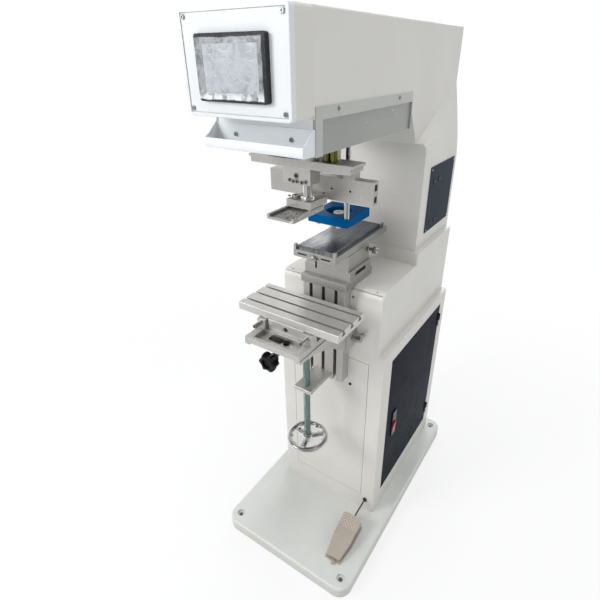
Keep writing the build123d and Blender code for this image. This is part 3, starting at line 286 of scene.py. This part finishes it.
def plastic(name, colour, rough, grain, depth, coat):
    """Moulded plastic with a fine grain and slightly lighter edges."""
    f = Finish(name, Metallic=0.0, Specular_IOR_Level=0.12, Coat_Roughness=0.1)
    mottle = f.noise(35.0, 3.0)
    base = f.mix(mottle, tone(colour, 0.85), tone(colour, 1.15))
    base = f.mix(f.edges(0.0012) * 0.35, base, tone(colour, 1.8))
    f.set(Base_Color=base, Roughness=mottle.spread(0.3, 0.7, rough - 0.05, rough + 0.1), Coat_Weight=coat)
    return f.bump(f.noise(grain, 2.0), 0.0003, depth).material


def base_enamel():
    """Hammered pale enamel of the floor base, dusty and darker along its rim."""
    colour = (0.62, 0.63, 0.60)
    rim_top, rim_low = 0.034, 0.024
    f = Finish("base_enamel", Metallic=0.0, IOR=1.48, Coat_Roughness=0.3)
    cloud = f.noise(4.0, 5.0)
    base = f.mix(cloud.spread(0.3, 0.7), tone(colour, 0.94), tone(colour, 1.06))
    speck = f.noise(650.0, 2.0).spread(0.6, 0.7)
    base = f.mix(speck * 0.10, base, tone(colour, 0.55))
    scuff = f.noise(26.0, 6.0, 0.65, f.place((1.0, 4.0, 1.0))).spread(0.6, 0.72)
    base = f.mix(scuff * 0.18, base, tone(colour, 0.75))
    side = f.place().axis("Z").spread(rim_top, rim_low)
    base = f.mix(side * 0.32, base, (0.36, 0.33, 0.26, 1.0))
    f.set(Base_Color=base, Roughness=cloud.spread(0.3, 0.8, 0.36, 0.5), Coat_Weight=0.1)
    return f.bump(f.noise(300.0), 0.0004, 0.16).material


def anodised_blue():
    """Satin blue anodised block with fine milling lines and rubbed edges."""
    colour = (0.0, 0.086, 0.255)
    f = Finish("anodised_blue", Metallic=0.0, Specular_IOR_Level=0.01)
    grain = f.noise(240.0, 3.0, 0.6, f.place((1.0, 12.0, 1.0)))
    base = f.mix(grain.spread(0.35, 0.65), tone(colour, 0.85), tone(colour, 1.2))
    base = f.mix(f.edges(0.0014) * f.noise(90.0).spread(0.4, 0.7), base, (0.06, 0.20, 0.42, 1.0))
    f.set(Base_Color=base, Roughness=grain.spread(0.3, 0.7, 0.28, 0.4))
    return f.bump(grain, 0.0002, 0.1).material


def etched_plate():
    """Etched steel plate: streaked silver with bluish wiping marks lengthways."""
    f = Finish("etched_plate", Metallic=1.0, IOR=1.5)
    streak = f.noise(70.0, 5.0, 0.6, f.place((3.0, 0.25, 1.0)))
    wipe = f.noise(9.0, 3.0, 0.5, f.place((1.0, 0.55, 1.0)), 0.4)
    base = f.mix(streak.spread(0.35, 0.65), (0.105, 0.106, 0.110, 1.0), (0.205, 0.206, 0.208, 1.0))
    base = f.mix(wipe.spread(0.46, 0.66) * 0.75, base, (0.06, 0.085, 0.13, 1.0))
    f.set(Base_Color=base, Roughness=wipe.spread(0.3, 0.7, 0.24, 0.40))
    return f.bump(streak, 0.0002, 0.12).material


def wrinkles(f, scale):
    """Creases of a thin film, 0 on its flats and 1 on its sharpest folds."""
    bend = f.noise(scale, 5.0, 0.6, f.place((1.0, 1.0, 0.7), (0.0, 0.4, 0.0)), 0.5)
    cross = f.noise(scale * 1.7, 5.0, 0.6, f.place((0.5, 1.0, 1.0), (0.0, -0.5, 0.0)), 0.4)
    ridge = (1.0 - (bend - 0.5).size() * 9.0).most(1.0 - (cross - 0.5).size() * 9.0)
    return (ridge.held() * 0.55 + bend.spread(0.45, 0.75) * 0.5).held()


def crinkled_foil():
    """Grey screen under a wrinkled clear film."""
    f = Finish("crinkled_foil", Metallic=0.0, Specular_IOR_Level=0.3)
    fold = wrinkles(f, 26.0)
    base = f.mix(fold, (0.30, 0.32, 0.345, 1.0), (0.58, 0.61, 0.64, 1.0))
    f.set(Base_Color=base, Roughness=fold.spread(0.0, 1.0, 0.14, 0.34), Coat_Weight=0.2)
    return f.bump(fold, 0.0015, 0.4).material


def filmed_bezel():
    """Dark bezel whose front is covered, but for a rim, by the same film."""
    film_left, film_right, film_top, film_low, film_front = 0.0745, 0.0672, 1.3620, 1.2700, -0.4195
    f = Finish("filmed_bezel", Metallic=0.0, Specular_IOR_Level=0.2, Coat_Roughness=0.1)
    at = f.place()
    ragged = f.noise(30.0, 4.0) * 0.006
    left = at.axis("X") + film_left
    right = film_right - at.axis("X")
    top = film_top - at.axis("Z")
    low = at.axis("Z") - film_low
    inside = left.least(right).least(top).least(low) - ragged
    covered = inside.spread(-0.001, 0.001) * at.axis("Y").below(film_front)
    fold = wrinkles(f, 30.0)
    film = f.mix(fold, (0.13, 0.135, 0.14, 1.0), (0.50, 0.52, 0.54, 1.0))
    gathered = low.spread(0.020, 0.004) * f.noise(55.0, 4.0, 0.6, None, 1.2).spread(0.42, 0.56)
    film = f.mix(gathered * 0.8, film, (0.86, 0.88, 0.90, 1.0))
    dark = f.mix(f.noise(35.0), (0.014, 0.015, 0.018, 1.0), (0.028, 0.029, 0.032, 1.0))
    f.set(Base_Color=f.mix(covered, dark, film), Roughness=fold.spread(0.0, 1.0, 0.2, 0.4),
          Coat_Weight=covered * 0.2)
    return f.bump(fold * covered, 0.0015, 0.4).material


def cover_coat():
    """Satin coat of the side covers: pale on the flange and the band, with painted shade that darkens the
    dished face and painted highlight streaks near its top.
    """
    dish_half, dish_top = 0.1098, 1.2436
    f = Finish("cover_coat", Metallic=0.0, IOR=1.48, Coat_Roughness=0.25)
    at = f.place()
    cloud = f.noise(5.0, 4.0)
    # Painted shade: the dished face gets a darker colour than the flange and the band.
    dish = at.axis("X").size().below(dish_half) * at.axis("Z").below(dish_top)
    base = f.mix(dish, (0.47, 0.475, 0.45, 1.0), (0.29, 0.305, 0.28, 1.0))
    base = f.mix(cloud.spread(0.35, 0.7) * 0.4, base, (0.40, 0.41, 0.38, 1.0))
    # Painted highlight: bright streaks near the top of the dished face.
    glint = f.noise(90.0, 4.0, 0.6, f.place((1.0, 0.3, 1.0))).spread(0.62, 0.72)
    glint = glint * at.axis("Z").spread(1.21, 1.235)
    base = f.mix(glint * dish * 0.6, base, (0.72, 0.73, 0.70, 1.0))
    f.set(Base_Color=base, Roughness=cloud.spread(0.3, 0.7, 0.32, 0.45), Coat_Weight=0.1)
    return f.bump(f.noise(420.0, 3.0), 0.0004, 0.1).material


def threaded(name, colour):
    """Zinc-plated lead screw: a helical thread over its length, with painted shade in its roots, and a plain
    collar.
    """
    pitch, thread_low = 0.004, 0.412
    f = Finish(name, Metallic=0.9, IOR=1.5)
    at = f.place(move=(0.0, -wheel_centre[1], 0.0))
    turn = f.node("ShaderNodeMath", {"operation": "ARCTAN2"}, at.axis("Y"), at.axis("X")) / (2.0 * math.pi)
    crest = ((at.axis("Z") / pitch + turn).part() - 0.5).size() * 2.0
    thread = crest.spread(0.2, 0.8) * at.axis("Z").above(thread_low)
    haze = f.noise(40.0, 4.0)
    base = f.mix(haze.spread(0.3, 0.7), tone(colour, 0.8), tone(colour, 1.3))
    # Painted shade: the colour darkens towards the thread's roots; the plain collar below the thread takes
    # the same dark colour.
    base = f.mix(thread * 0.5, tone(colour, 0.5), base)
    f.set(Base_Color=base, Roughness=haze.spread(0.3, 0.8, 0.22, 0.36))
    return f.bump(thread, 0.0011, 0.8).material


def paper_seat():
    """Cream crinkled plastic of the holder's seat and feet."""
    colour = (0.85, 0.81, 0.68)
    f = Finish("paper_seat", Metallic=0.0, IOR=1.45)
    fold = f.noise(160.0, 4.0, 0.6, None, 0.8)
    base = f.mix(fold.spread(0.35, 0.65), tone(colour, 0.7), tone(colour, 1.15))
    f.set(Base_Color=base, Roughness=fold.spread(0.3, 0.7, 0.4, 0.6))
    return f.bump(fold, 0.002, 0.3).material


def pedal_paint():
    """Taupe enamel of the pedal, embossed: coarse pyramids on the toe, fine ones on the heel."""
    colour = (0.47, 0.41, 0.35)
    coarse, fine, toe_back, heel_front, tread_low = 0.0075, 0.0034, -0.238, -0.262, 0.052
    f = Finish("pedal_paint", Metallic=0.1, IOR=1.5, Coat_Roughness=0.2)
    turn = math.radians(-3.0)
    at = f.place(turn=(0.0, 0.0, turn + math.pi / 4))
    along = f.place(turn=(0.0, 0.0, turn)).axis("Y")

    def studs(step):
        across = ((at.axis("X") / step).part() - 0.5).size()
        other = ((at.axis("Y") / step).part() - 0.5).size()
        return 1.0 - across.most(other) * 2.0

    on_toe = along.above(toe_back)
    on_heel = along.below(heel_front)
    top = f.place().axis("Z").above(tread_low)
    emboss = (studs(coarse) * on_toe * 1.6 + studs(fine) * on_heel * 0.8) * top
    base = f.mix(emboss.spread(0.0, 0.5), tone(colour, 0.82), tone(colour, 1.08))
    base = f.mix(f.edges(0.002) * 0.4, base, tone(colour, 1.3))
    f.set(Base_Color=base, Roughness=f.noise(40.0).spread(0.3, 0.7, 0.35, 0.5), Coat_Weight=0.15)
    return f.bump(emboss, 0.0016, 0.9).material


def rubber(name):
    """Dull black rubber."""
    f = Finish(name, Metallic=0.0, IOR=1.45)
    mottle = f.noise(80.0)
    base = f.mix(mottle, (0.012, 0.012, 0.013, 1.0), (0.03, 0.03, 0.032, 1.0))
    f.set(Base_Color=base, Roughness=mottle.spread(0.3, 0.7, 0.45, 0.65))
    return f.bump(f.noise(900.0), 0.0002, 0.1).material


def make_finishes():
    """Every finish of the machine, by name."""
    return {
        "front": powder_coat("front_coat", front_colour),
        "box": powder_coat("box_coat", front_colour, behind=body_colour),
        "body": powder_coat("body_coat", body_colour),
        "cabinet": powder_coat("cabinet_coat", (0.64, 0.62, 0.58)),
        "cover": cover_coat(),
        "door": gloss_door("door_enamel", (0.014, 0.016, 0.026)),
        "slate": gloss_door("slate_plate", (0.042, 0.052, 0.066)),
        "base": base_enamel(),
        # The milled finishes paint shade into their nooks and highlights along their edges; the tray's also
        # paints glints.
        "milled": milled("milled_aluminium", (0.42, 0.412, 0.39), 0.4),
        "milled_x": milled("cross_milled", (0.39, 0.383, 0.362), 0.38, (14.0, 1.0, 1.0)),
        "table": milled("table_metal", (0.57, 0.56, 0.535), 0.38, (1.0, 14.0, 14.0), 0.3),
        "knee": milled("knee_metal", (0.50, 0.492, 0.47), 0.42, dark=0.5),
        "stage": milled("stage_metal", (0.35, 0.345, 0.33), 0.38),
        "tray": milled("tray_metal", (0.36, 0.352, 0.33), 0.4, painted_glint_share=0.8),
        "shade": milled("inner_aluminium", (0.40, 0.40, 0.39), 0.45),
        "sheet": powder_coat("bluish_sheet", (0.74, 0.77, 0.79), 0.34, 0.2),
        "steel": polished("ground_steel", (0.55, 0.55, 0.54, 1.0), 0.22),
        "chrome": polished("chrome_plate", (0.78, 0.78, 0.78, 1.0), 0.06),
        "olive": polished("yellow_zinc", (0.26, 0.25, 0.07, 1.0), 0.2),
        "teal": threaded("teal_zinc", (0.24, 0.35, 0.33)),
        "blue": anodised_blue(),
        "etched": etched_plate(),
        "film": crinkled_foil(),
        "seat": paper_seat(),
        "bezel": filmed_bezel(),
        "black": plastic("black_plastic", (0.007, 0.007, 0.008), 0.2, 400.0, 0.05, 0.05),
        "red": plastic("red_plastic", (0.45, 0.015, 0.01), 0.28, 500.0, 0.05, 0.3),
        "pedal": pedal_paint(),
        "rubber": rubber("black_rubber"),
    }


node_finishes = {
    "base": ["base_plate"],
    "cabinet": ["cabinet", "front_panel"],
    "door": ["side_door"],
    "bezel": ["screen_bezel"],
    "black": ["lock_knob", "switch_plate"],
    "red": ["rocker"],
    "body": ["torso", "column", "hood", "control_box"],
    "slate": ["control_panel"],
    "box": ["face_box"],
    "front": ["face_cover"],
    "film": ["screen_glass"],
    "sheet": ["housing", "guard"],
    "cover": ["side_covers"],
    "steel": ["cover_screws", "adjust_screws", "fine_knob", "fine_screw", "side_lock"],
    "shade": ["rail_frame", "shuttle_drive", "truck", "bar_hanger", "pad_cylinder"],
    "chrome": ["shuttle_rails", "drive_rod", "pad_rod", "cup_rods", "handwheel"],
    "olive": ["hanger_posts"],
    "milled_x": ["carriage_plate", "cross_bar"],
    "table": ["table", "riser"],
    "knee": ["slide_rail", "knee", "screw_bracket"],
    "milled": ["guide_block", "rod_guides", "pad_block"],
    "stage": ["pedestal", "stage_base", "stage_block", "plate_bed"],
    "tray": ["pad_tray"],
    "blue": ["cup_holder"],
    "seat": ["holder_pads"],
    "etched": ["printing_plate"],
    "teal": ["lead_screw"],
    "pedal": ["pedal_base", "pedal_tread"],
    "rubber": ["cable_gland"],
}


def dress_nodes(finishes):
    """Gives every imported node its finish."""
    for finish, names in node_finishes.items():
        for name in names:
            for slot in nodes[name].material_slots:
                slot.material = finishes[finish]


# Pieces modelled here


def piece(name, bm, finish, body, replaced=()):
    """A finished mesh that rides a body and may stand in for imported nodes."""
    bmesh.ops.remove_doubles(bm, verts=bm.verts, dist=merge_distance)
    bmesh.ops.recalc_face_normals(bm, faces=bm.faces)
    mesh = bpy.data.meshes.new(name)
    bm.to_mesh(mesh)
    bm.free()
    mesh.materials.append(finish)
    mesh.shade_smooth()
    mesh.set_sharp_from_angle(angle=math.radians(sharp_angle))
    made = bpy.data.objects.new(name, mesh)
    bpy.context.collection.objects.link(made)
    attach(made, body)
    if replaced:
        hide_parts(*replaced)


def rod(bm, start, end, radius, segments=32):
    """A closed round rod between two points."""
    start, end = Vector(start), Vector(end)
    along = end - start
    place = Matrix.Translation((start + end) / 2) @ along.to_track_quat("Z", "Y").to_matrix().to_4x4()
    bmesh.ops.create_cone(bm, cap_ends=True, segments=segments, radius1=radius, radius2=radius,
                          depth=along.length, matrix=place)


def block(bm, low, high, bevel, place=Matrix.Identity(4)):
    """A box between two corners, in a frame of its own, with rounded edges.

    Turned parts are made before it, because what follows a bevel is not ordered alike in each run.
    """
    low, high = Vector(low), Vector(high)
    shape = place @ Matrix.Translation((low + high) / 2) @ Matrix.Diagonal((*(high - low), 1.0))
    corners = bmesh.ops.create_cube(bm, size=1.0, matrix=shape)["verts"]
    edges = list(dict.fromkeys(e for v in corners for e in v.link_edges))
    bmesh.ops.bevel(bm, geom=edges, offset=bevel, offset_type="OFFSET", segments=3, profile=0.5,
                    affect="EDGES", material=-1, clamp_overlap=True)


def turned(bm, place, profile, lobes=0, depth=0.0, segments=96):
    """Rings of a profile's radii and heights about an axis, with lobes on its wide rings."""
    widest = max(radius for radius, height in profile)
    rings = []
    for radius, height in profile:
        share = depth * max(0.0, radius / widest * 2.0 - 1.0)
        rings.append([])
        for i in range(segments):
            turn = 2.0 * math.pi * i / segments
            reach = radius * (1.0 + share * (math.cos(lobes * turn) - 1.0))
            spot = Vector((reach * math.cos(turn), reach * math.sin(turn), height))
            rings[-1].append(bm.verts.new(place @ spot))
    for low, high in zip(rings, rings[1:]):
        for i in range(segments):
            j = (i + 1) % segments
            bm.faces.new((low[i], low[j], high[j], high[i]))
    bm.faces.new(rings[0])
    bm.faces.new(rings[-1])


def handwheel(finishes):
    """Chromed wheel: a rim with nine swells inside, three flat spokes, one with a hole drawn as a dark disc
    of painted shade, and a hub.
    """
    bm = bmesh.new()
    centre = Matrix.Translation(wheel_centre)
    around, section, ring, thick = 144, 20, 0.0512, 0.0074
    swells, swell_share = 9.0, 0.5
    spoke_turns, hole_out = (46.0, 166.0, 286.0), 0.034
    rows = []
    for i in range(around):
        turn = 2.0 * math.pi * i / around
        swell = swell_share * max(0.0, math.sin(swells * turn))
        rows.append([])
        for j in range(section):
            bend = 2.0 * math.pi * j / section
            out = thick * math.cos(bend)
            reach = ring + (out if out > 0.0 else out * (1.0 + swell))
            spot = Vector((reach * math.cos(turn), reach * math.sin(turn), thick * math.sin(bend)))
            rows[-1].append(bm.verts.new(centre @ spot))
    for i in range(around):
        for j in range(section):
            k, m = (i + 1) % around, (j + 1) % section
            bm.faces.new((rows[i][j], rows[k][j], rows[k][m], rows[i][m]))
    turned(bm, centre, [(0.0125, -0.0129), (0.0139, -0.0115), (0.0139, 0.009), (0.0118, 0.0129)])
    for turn in spoke_turns:
        place = centre @ Matrix.Rotation(math.radians(turn), 4, "Z")
        block(bm, (0.008, -0.0085, -0.0034), (0.048, 0.0085, 0.0034), 0.0026, place)
    piece("hand_wheel", bm, finishes["chrome"], "wheel", ["handwheel"])
    # Painted shade: a dark disc in the spoke stands for its hole.
    bm = bmesh.new()
    spot = centre @ Matrix.Rotation(math.radians(spoke_turns[1]), 4, "Z") @ Vector((hole_out, 0.0, 0.0))
    rod(bm, spot, spot + Vector((0.0, 0.0, 0.0037)), 0.0032)
    piece("wheel_hole", bm, finishes["black"], "wheel")


def lock_knob(finishes):
    """Glossy black lobed knob with a deep round recess, on its steel stud."""
    knob_x, knob_z = -0.045, 0.685
    bm = bmesh.new()
    place = Matrix.Translation((knob_x, -0.314, knob_z)) @ Matrix.Rotation(math.radians(90.0), 4, "X")
    profile = [(0.0125, -0.0100), (0.0130, 0.0000), (0.0215, 0.0004), (0.0248, 0.0035), (0.0259, 0.0100),
               (0.0258, 0.0165), (0.0238, 0.0218), (0.0190, 0.0240), (0.0128, 0.0236), (0.0112, 0.0170),
               (0.0050, 0.0150)]
    turned(bm, place, profile, 6, 0.15)
    piece("knob_grip", bm, finishes["black"], "lock_knob", ["lock_knob"])
    bm = bmesh.new()
    rod(bm, (knob_x, -0.305, knob_z), (knob_x, -0.1682, knob_z), 0.0049)
    piece("knob_stud", bm, finishes["steel"], "lock_knob")


def small_pieces(finishes):
    """Key plug, port plugs, panel screws and a dark block and round piece that fill the knee's pocket with
    painted shade.
    """
    key_x, key_z = 0.0688, 0.5249
    plug_places, plug_heights = (0.178, 0.215), (0.9234, 1.0384)
    screw_places, screw_heights = (0.152, 0.321), (0.9084, 1.0724)
    bm = bmesh.new()
    rod(bm, (key_x, -0.1190, key_z), (key_x, -0.1214, key_z), 0.0042)
    piece("key_plug", bm, finishes["black"], "frame")
    bm = bmesh.new()
    for y in plug_places:
        for z in plug_heights:
            rod(bm, (0.1376, y, z), (0.1407, y, z), 0.0048)
    piece("port_plugs", bm, finishes["black"], "frame")
    bm = bmesh.new()
    for y in screw_places:
        for z in screw_heights:
            rod(bm, (0.1385, y, z), (0.1402, y, z), 0.0024)
    piece("panel_screws", bm, finishes["steel"], "frame")
    # Painted shade: dark pieces that darken the knee's pocket.
    bm = bmesh.new()
    turned(bm, Matrix.Translation((0.014, -0.3310, 0.7620)),
           [(0.0075, 0.0), (0.0078, 0.004), (0.0062, 0.0065)])
    block(bm, (-0.0316, -0.3378, 0.7590), (0.0016, -0.3224, 0.7655), 0.0008)
    piece("pocket_pieces", bm, finishes["black"], "knee")


def socket_screws(bm, dark, spots, axis, radius, proud):
    """Screw heads on a face, in a mesh, and in another the dark six-sided discs that paint shade into their
    sockets.
    """
    sunk, socket_sunk, socket_proud, socket_share = 0.001, 0.0006, 0.00015, 0.6
    axis = Vector(axis)
    for spot in spots:
        spot = Vector(spot)
        rod(bm, spot - axis * sunk, spot + axis * proud, radius, 24)
        # Painted shade: a dark disc on each head stands for its socket's recess.
        rod(dark, spot + axis * (proud - socket_sunk), spot + axis * (proud + socket_proud),
            radius * socket_share, 6)


def head_screws(finishes):
    """Socket screws of the guide block, the pad block and the plate bed's front."""
    forward, up = (0, -1, 0), (0, 0, 1)
    guide_y, block_z, bed_y = -0.250, 1.076, -0.196
    guide_row = ((-0.021, 1.1105), (-0.012, 1.1085), (-0.003, 1.1095), (0.009, 1.1085), (0.019, 1.1105))
    for name, body, spots, axis, radius, proud in (
            ("guide_screws", "shuttle", [(x, guide_y, z) for x, z in guide_row], forward, 0.0044, 0.0014),
            ("guide_plug", "shuttle", [(-0.0045, guide_y, 1.1205)], forward, 0.0062, 0.0010),
            ("block_screws", "pad", [(x, y, block_z) for x in (-0.026, 0.026) for y in (-0.247, -0.193)],
             up, 0.0032, 0.0014),
            ("bed_screws", "stage_y", [(x, bed_y, 0.9205) for x in (-0.010, 0.010)],
             forward, 0.0036, 0.0035)):
        heads, dark = bmesh.new(), bmesh.new()
        socket_screws(heads, dark, spots, axis, radius, proud)
        piece(name, heads, finishes["steel"], body)
        # The dark discs are painted shade in the screws' sockets.
        piece(name + "_holes", dark, finishes["black"], body)


def clamp_details(finishes):
    """Collar, pin and handle of the side clamp, dark discs of painted shade in the sockets of the knee's
    screws, pin under the plate bed.
    """
    clamp_y, clamp_z, pin_x = -0.135, 0.695, 0.086
    bm = bmesh.new()
    rod(bm, (0.0795, clamp_y, clamp_z), (0.0835, clamp_y, clamp_z), 0.0112)
    rod(bm, (pin_x, clamp_y, 0.690), (pin_x, clamp_y, 0.681), 0.0014, 16)
    rod(bm, (0.0960, clamp_y, 0.697), (0.1040, clamp_y, 0.707), 0.0024, 20)
    turned(bm, Matrix.Translation((0.1065, clamp_y, 0.7095)) @ Matrix.Rotation(math.radians(90.0), 4, "X"),
           [(0.0046, -0.0045), (0.0066, -0.0022), (0.0066, 0.0022), (0.0046, 0.0045)], segments=40)
    piece("clamp_handle", bm, finishes["steel"], "side_lock")
    bm = bmesh.new()
    # Painted shade: dark discs in the sockets of the knee's adjusting screws.
    for x in (-0.065, 0.065):
        rod(bm, (x, -0.3452, 0.789), (x, -0.3464, 0.789), 0.0033, 6)
    piece("adjust_sockets", bm, finishes["black"], "knee")
    bm = bmesh.new()
    rod(bm, (0.0035, -0.1915, 0.9150), (0.0035, -0.1915, 0.8955), 0.0021, 20)
    piece("bed_pin", bm, finishes["black"], "stage_y")


def stage_knob(finishes):
    """Turned knob of the stage's cross feed with its collar, and the wings of the front screw."""
    knob_y, knob_z = -0.039, 0.904
    bm = bmesh.new()
    place = Matrix.Translation((0.060, knob_y, knob_z)) @ Matrix.Rotation(math.radians(90.0), 4, "Y")
    turned(bm, place, [(0.0078, 0.0), (0.0078, 0.0045), (0.0042, 0.0055), (0.0042, 0.0150), (0.0088, 0.0155),
                       (0.0096, 0.0170), (0.0096, 0.0250), (0.0084, 0.0270)], 18, 0.03)
    piece("feed_knob", bm, finishes["steel"], "x_knob", ["fine_knob"])
    bm = bmesh.new()
    # Painted shade: a dark disc stands for the socket in the knob's end.
    rod(bm, (0.0862, knob_y, knob_z), (0.0873, knob_y, knob_z), 0.0034, 6)
    piece("feed_socket", bm, finishes["black"], "x_knob")
    bm = bmesh.new()
    block(bm, (-0.0105, -0.2058, 0.9203), (0.0105, -0.2010, 0.9247), 0.0012)
    piece("screw_wings", bm, finishes["steel"], "y_screw")


def rear_pieces(finishes):
    """Rear covers of cabinet and column with screws and their painted-shade sockets, air slots drawn as dark
    strips of painted shade, and the mains inlet.
    """
    inner, outer, side_in, end_in = 0.3495, 0.3515, 0.010, 0.012
    slot_rows, slot_low, slot_step, slot_high, slot_half = 7, 0.480, 0.013, 0.004, 0.055
    covers, slots, screws, dark = bmesh.new(), bmesh.new(), bmesh.new(), bmesh.new()
    for wide, low, high in ((0.128, 0.110, 0.600), (0.104, 0.905, 1.120)):
        block(covers, (-wide, inner, low), (wide, outer, high), 0.0008)
        heights = (low + end_in, (low + high) / 2, high - end_in)
        spots = [(x, outer, z) for x in (side_in - wide, wide - side_in) for z in heights]
        socket_screws(screws, dark, spots, (0, 1, 0), 0.0035, 0.0016)
    # Painted shade: dark strips stand for the openings of the air slots.
    for row in range(slot_rows):
        z = slot_low + row * slot_step
        block(slots, (-slot_half, 0.3510, z), (slot_half, 0.3517, z + slot_high), 0.0003)
    block(slots, (-0.110, inner, 0.062), (-0.062, 0.3530, 0.090), 0.0015)
    piece("rear_covers", covers, finishes["cabinet"], "frame")
    piece("rear_slots", slots, finishes["black"], "frame")
    piece("rear_screws", screws, finishes["steel"], "frame")
    piece("rear_sockets", dark, finishes["black"], "frame")


# The pedal's cable


def pedal_cable(finishes):
    """Cable from the cabinet's gland to the pedal's strain relief."""
    route = [(0.1399, -0.1260, 0.0854), (0.1399, -0.1415, 0.0854), (0.1380, -0.1560, 0.0780),
             (0.1353, -0.1690, 0.0660), (0.1336, -0.1820, 0.0580), (0.1336, -0.1970, 0.0580)]
    curve = bpy.data.curves.new("pedal_lead", "CURVE")
    curve.dimensions = "3D"
    spline = curve.splines.new("NURBS")
    spline.points.add(len(route) - 1)
    for point, place in zip(spline.points, route):
        point.co = (*place, 1.0)
    spline.order_u = 3
    spline.use_endpoint_u = True
    spline.resolution_u = 12
    curve.bevel_depth = 0.0023
    curve.bevel_resolution = 4
    curve.use_fill_caps = True
    lead = bpy.data.objects.new("pedal_lead", curve)
    bpy.context.collection.objects.link(lead)
    curve.materials.append(finishes["rubber"])
    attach(lead, "frame")
    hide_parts("pedal_cable")


# Room


def room():
    """Pale floor that turns white away from the machine, and a world that looks white but lights softly."""
    floor_size, sky_colour, sky_strength = 8.0, (0.93, 0.96, 1.0, 1.0), 0.54
    f = Finish("floor", Metallic=0.0, Roughness=0.9)
    soft = f.noise(3.0)
    f.set(Base_Color=f.mix(soft, (0.80, 0.80, 0.80, 1.0), (0.84, 0.84, 0.84, 1.0)))
    at = f.place()
    away = f.node("ShaderNodeVectorMath", {"operation": "LENGTH"}, at, output="Value")
    white = f.node("ShaderNodeEmission", {})
    seen = [f.node("ShaderNodeLightPath", {}, output=f"Is {ray} Ray")
            for ray in ("Camera", "Glossy", "Transmission")]
    seen = (seen[0] + seen[1] + seen[2]).least(1.0) * away.spread(0.45, 1.9, 0.72, 1.0)
    blend = f.node("ShaderNodeMixShader", {}, seen, Value(f, f.shader.outputs[0]), white)
    output = next(n for n in f.tree.nodes if n.type == "OUTPUT_MATERIAL")
    f.tree.links.new(blend.socket, output.inputs[0])
    mesh = bpy.data.meshes.new("floor")
    bm = bmesh.new()
    bmesh.ops.create_grid(bm, x_segments=1, y_segments=1, size=floor_size)
    bm.to_mesh(mesh)
    bm.free()
    mesh.materials.append(f.material)
    floor = bpy.data.objects.new("floor", mesh)
    bpy.context.collection.objects.link(floor)

    world = bpy.data.worlds.new("world")
    bpy.context.scene.world = world
    world.use_nodes = True
    tree = world.node_tree
    light = tree.nodes["Background"]
    light.inputs[0].default_value = sky_colour
    light.inputs[1].default_value = sky_strength
    back = tree.nodes.new("ShaderNodeBackground")
    back.inputs[0].default_value = (1.0, 1.0, 1.0, 1.0)
    back.inputs[1].default_value = 1.0
    path = tree.nodes.new("ShaderNodeLightPath")
    shown = path.outputs["Is Camera Ray"]
    for ray in ("Is Glossy Ray", "Is Transmission Ray"):
        either = tree.nodes.new("ShaderNodeMath")
        either.operation = "MAXIMUM"
        tree.links.new(shown, either.inputs[0])
        tree.links.new(path.outputs[ray], either.inputs[1])
        shown = either.outputs[0]
    blend = tree.nodes.new("ShaderNodeMixShader")
    tree.links.new(shown, blend.inputs[0])
    tree.links.new(light.outputs[0], blend.inputs[1])
    tree.links.new(back.outputs[0], blend.inputs[2])
    tree.links.new(blend.outputs[0], tree.nodes["World Output"].inputs[0])


def soft_lamp(name, place, target, size, power, colour=(1.0, 1.0, 1.0)):
    """A square area lamp that looks at a target."""
    data = bpy.data.lights.new(name, "AREA")
    data.size = size
    data.energy = power
    data.color = colour
    lamp = bpy.data.objects.new(name, data)
    place = Vector(place)
    look = (Vector(target) - place).to_track_quat("-Z", "Y").to_matrix().to_4x4()
    lamp.matrix_world = Matrix.Translation(place) @ look
    bpy.context.collection.objects.link(lamp)


def studio():
    """Lamps: a key from the front left, a fill from the right, a low front, a top and a rear light."""
    middle = (0.0, 0.0, 0.75)
    soft_lamp("key", (-1.5, -2.3, 2.1), middle, 1.0, 42.0)
    soft_lamp("fill", (2.6, -0.9, 1.5), middle, 1.6, 9.0, (1.0, 0.98, 0.95))
    soft_lamp("front", (-0.3, -3.0, 0.6), (0.0, 0.0, 0.5), 1.2, 9.0)
    soft_lamp("top", (0.3, 0.0, 5.5), middle, 2.6, 95.0)
    soft_lamp("rear", (-0.9, 2.6, 2.0), middle, 1.6, 24.0)
    bpy.context.scene.view_settings.view_transform = "Standard"


place_camera()
finishes = make_finishes()
pedal_cable(finishes)
dress_nodes(finishes)
handwheel(finishes)
lock_knob(finishes)
small_pieces(finishes)
head_screws(finishes)
clamp_details(finishes)
stage_knob(finishes)
rear_pieces(finishes)
room()
studio()
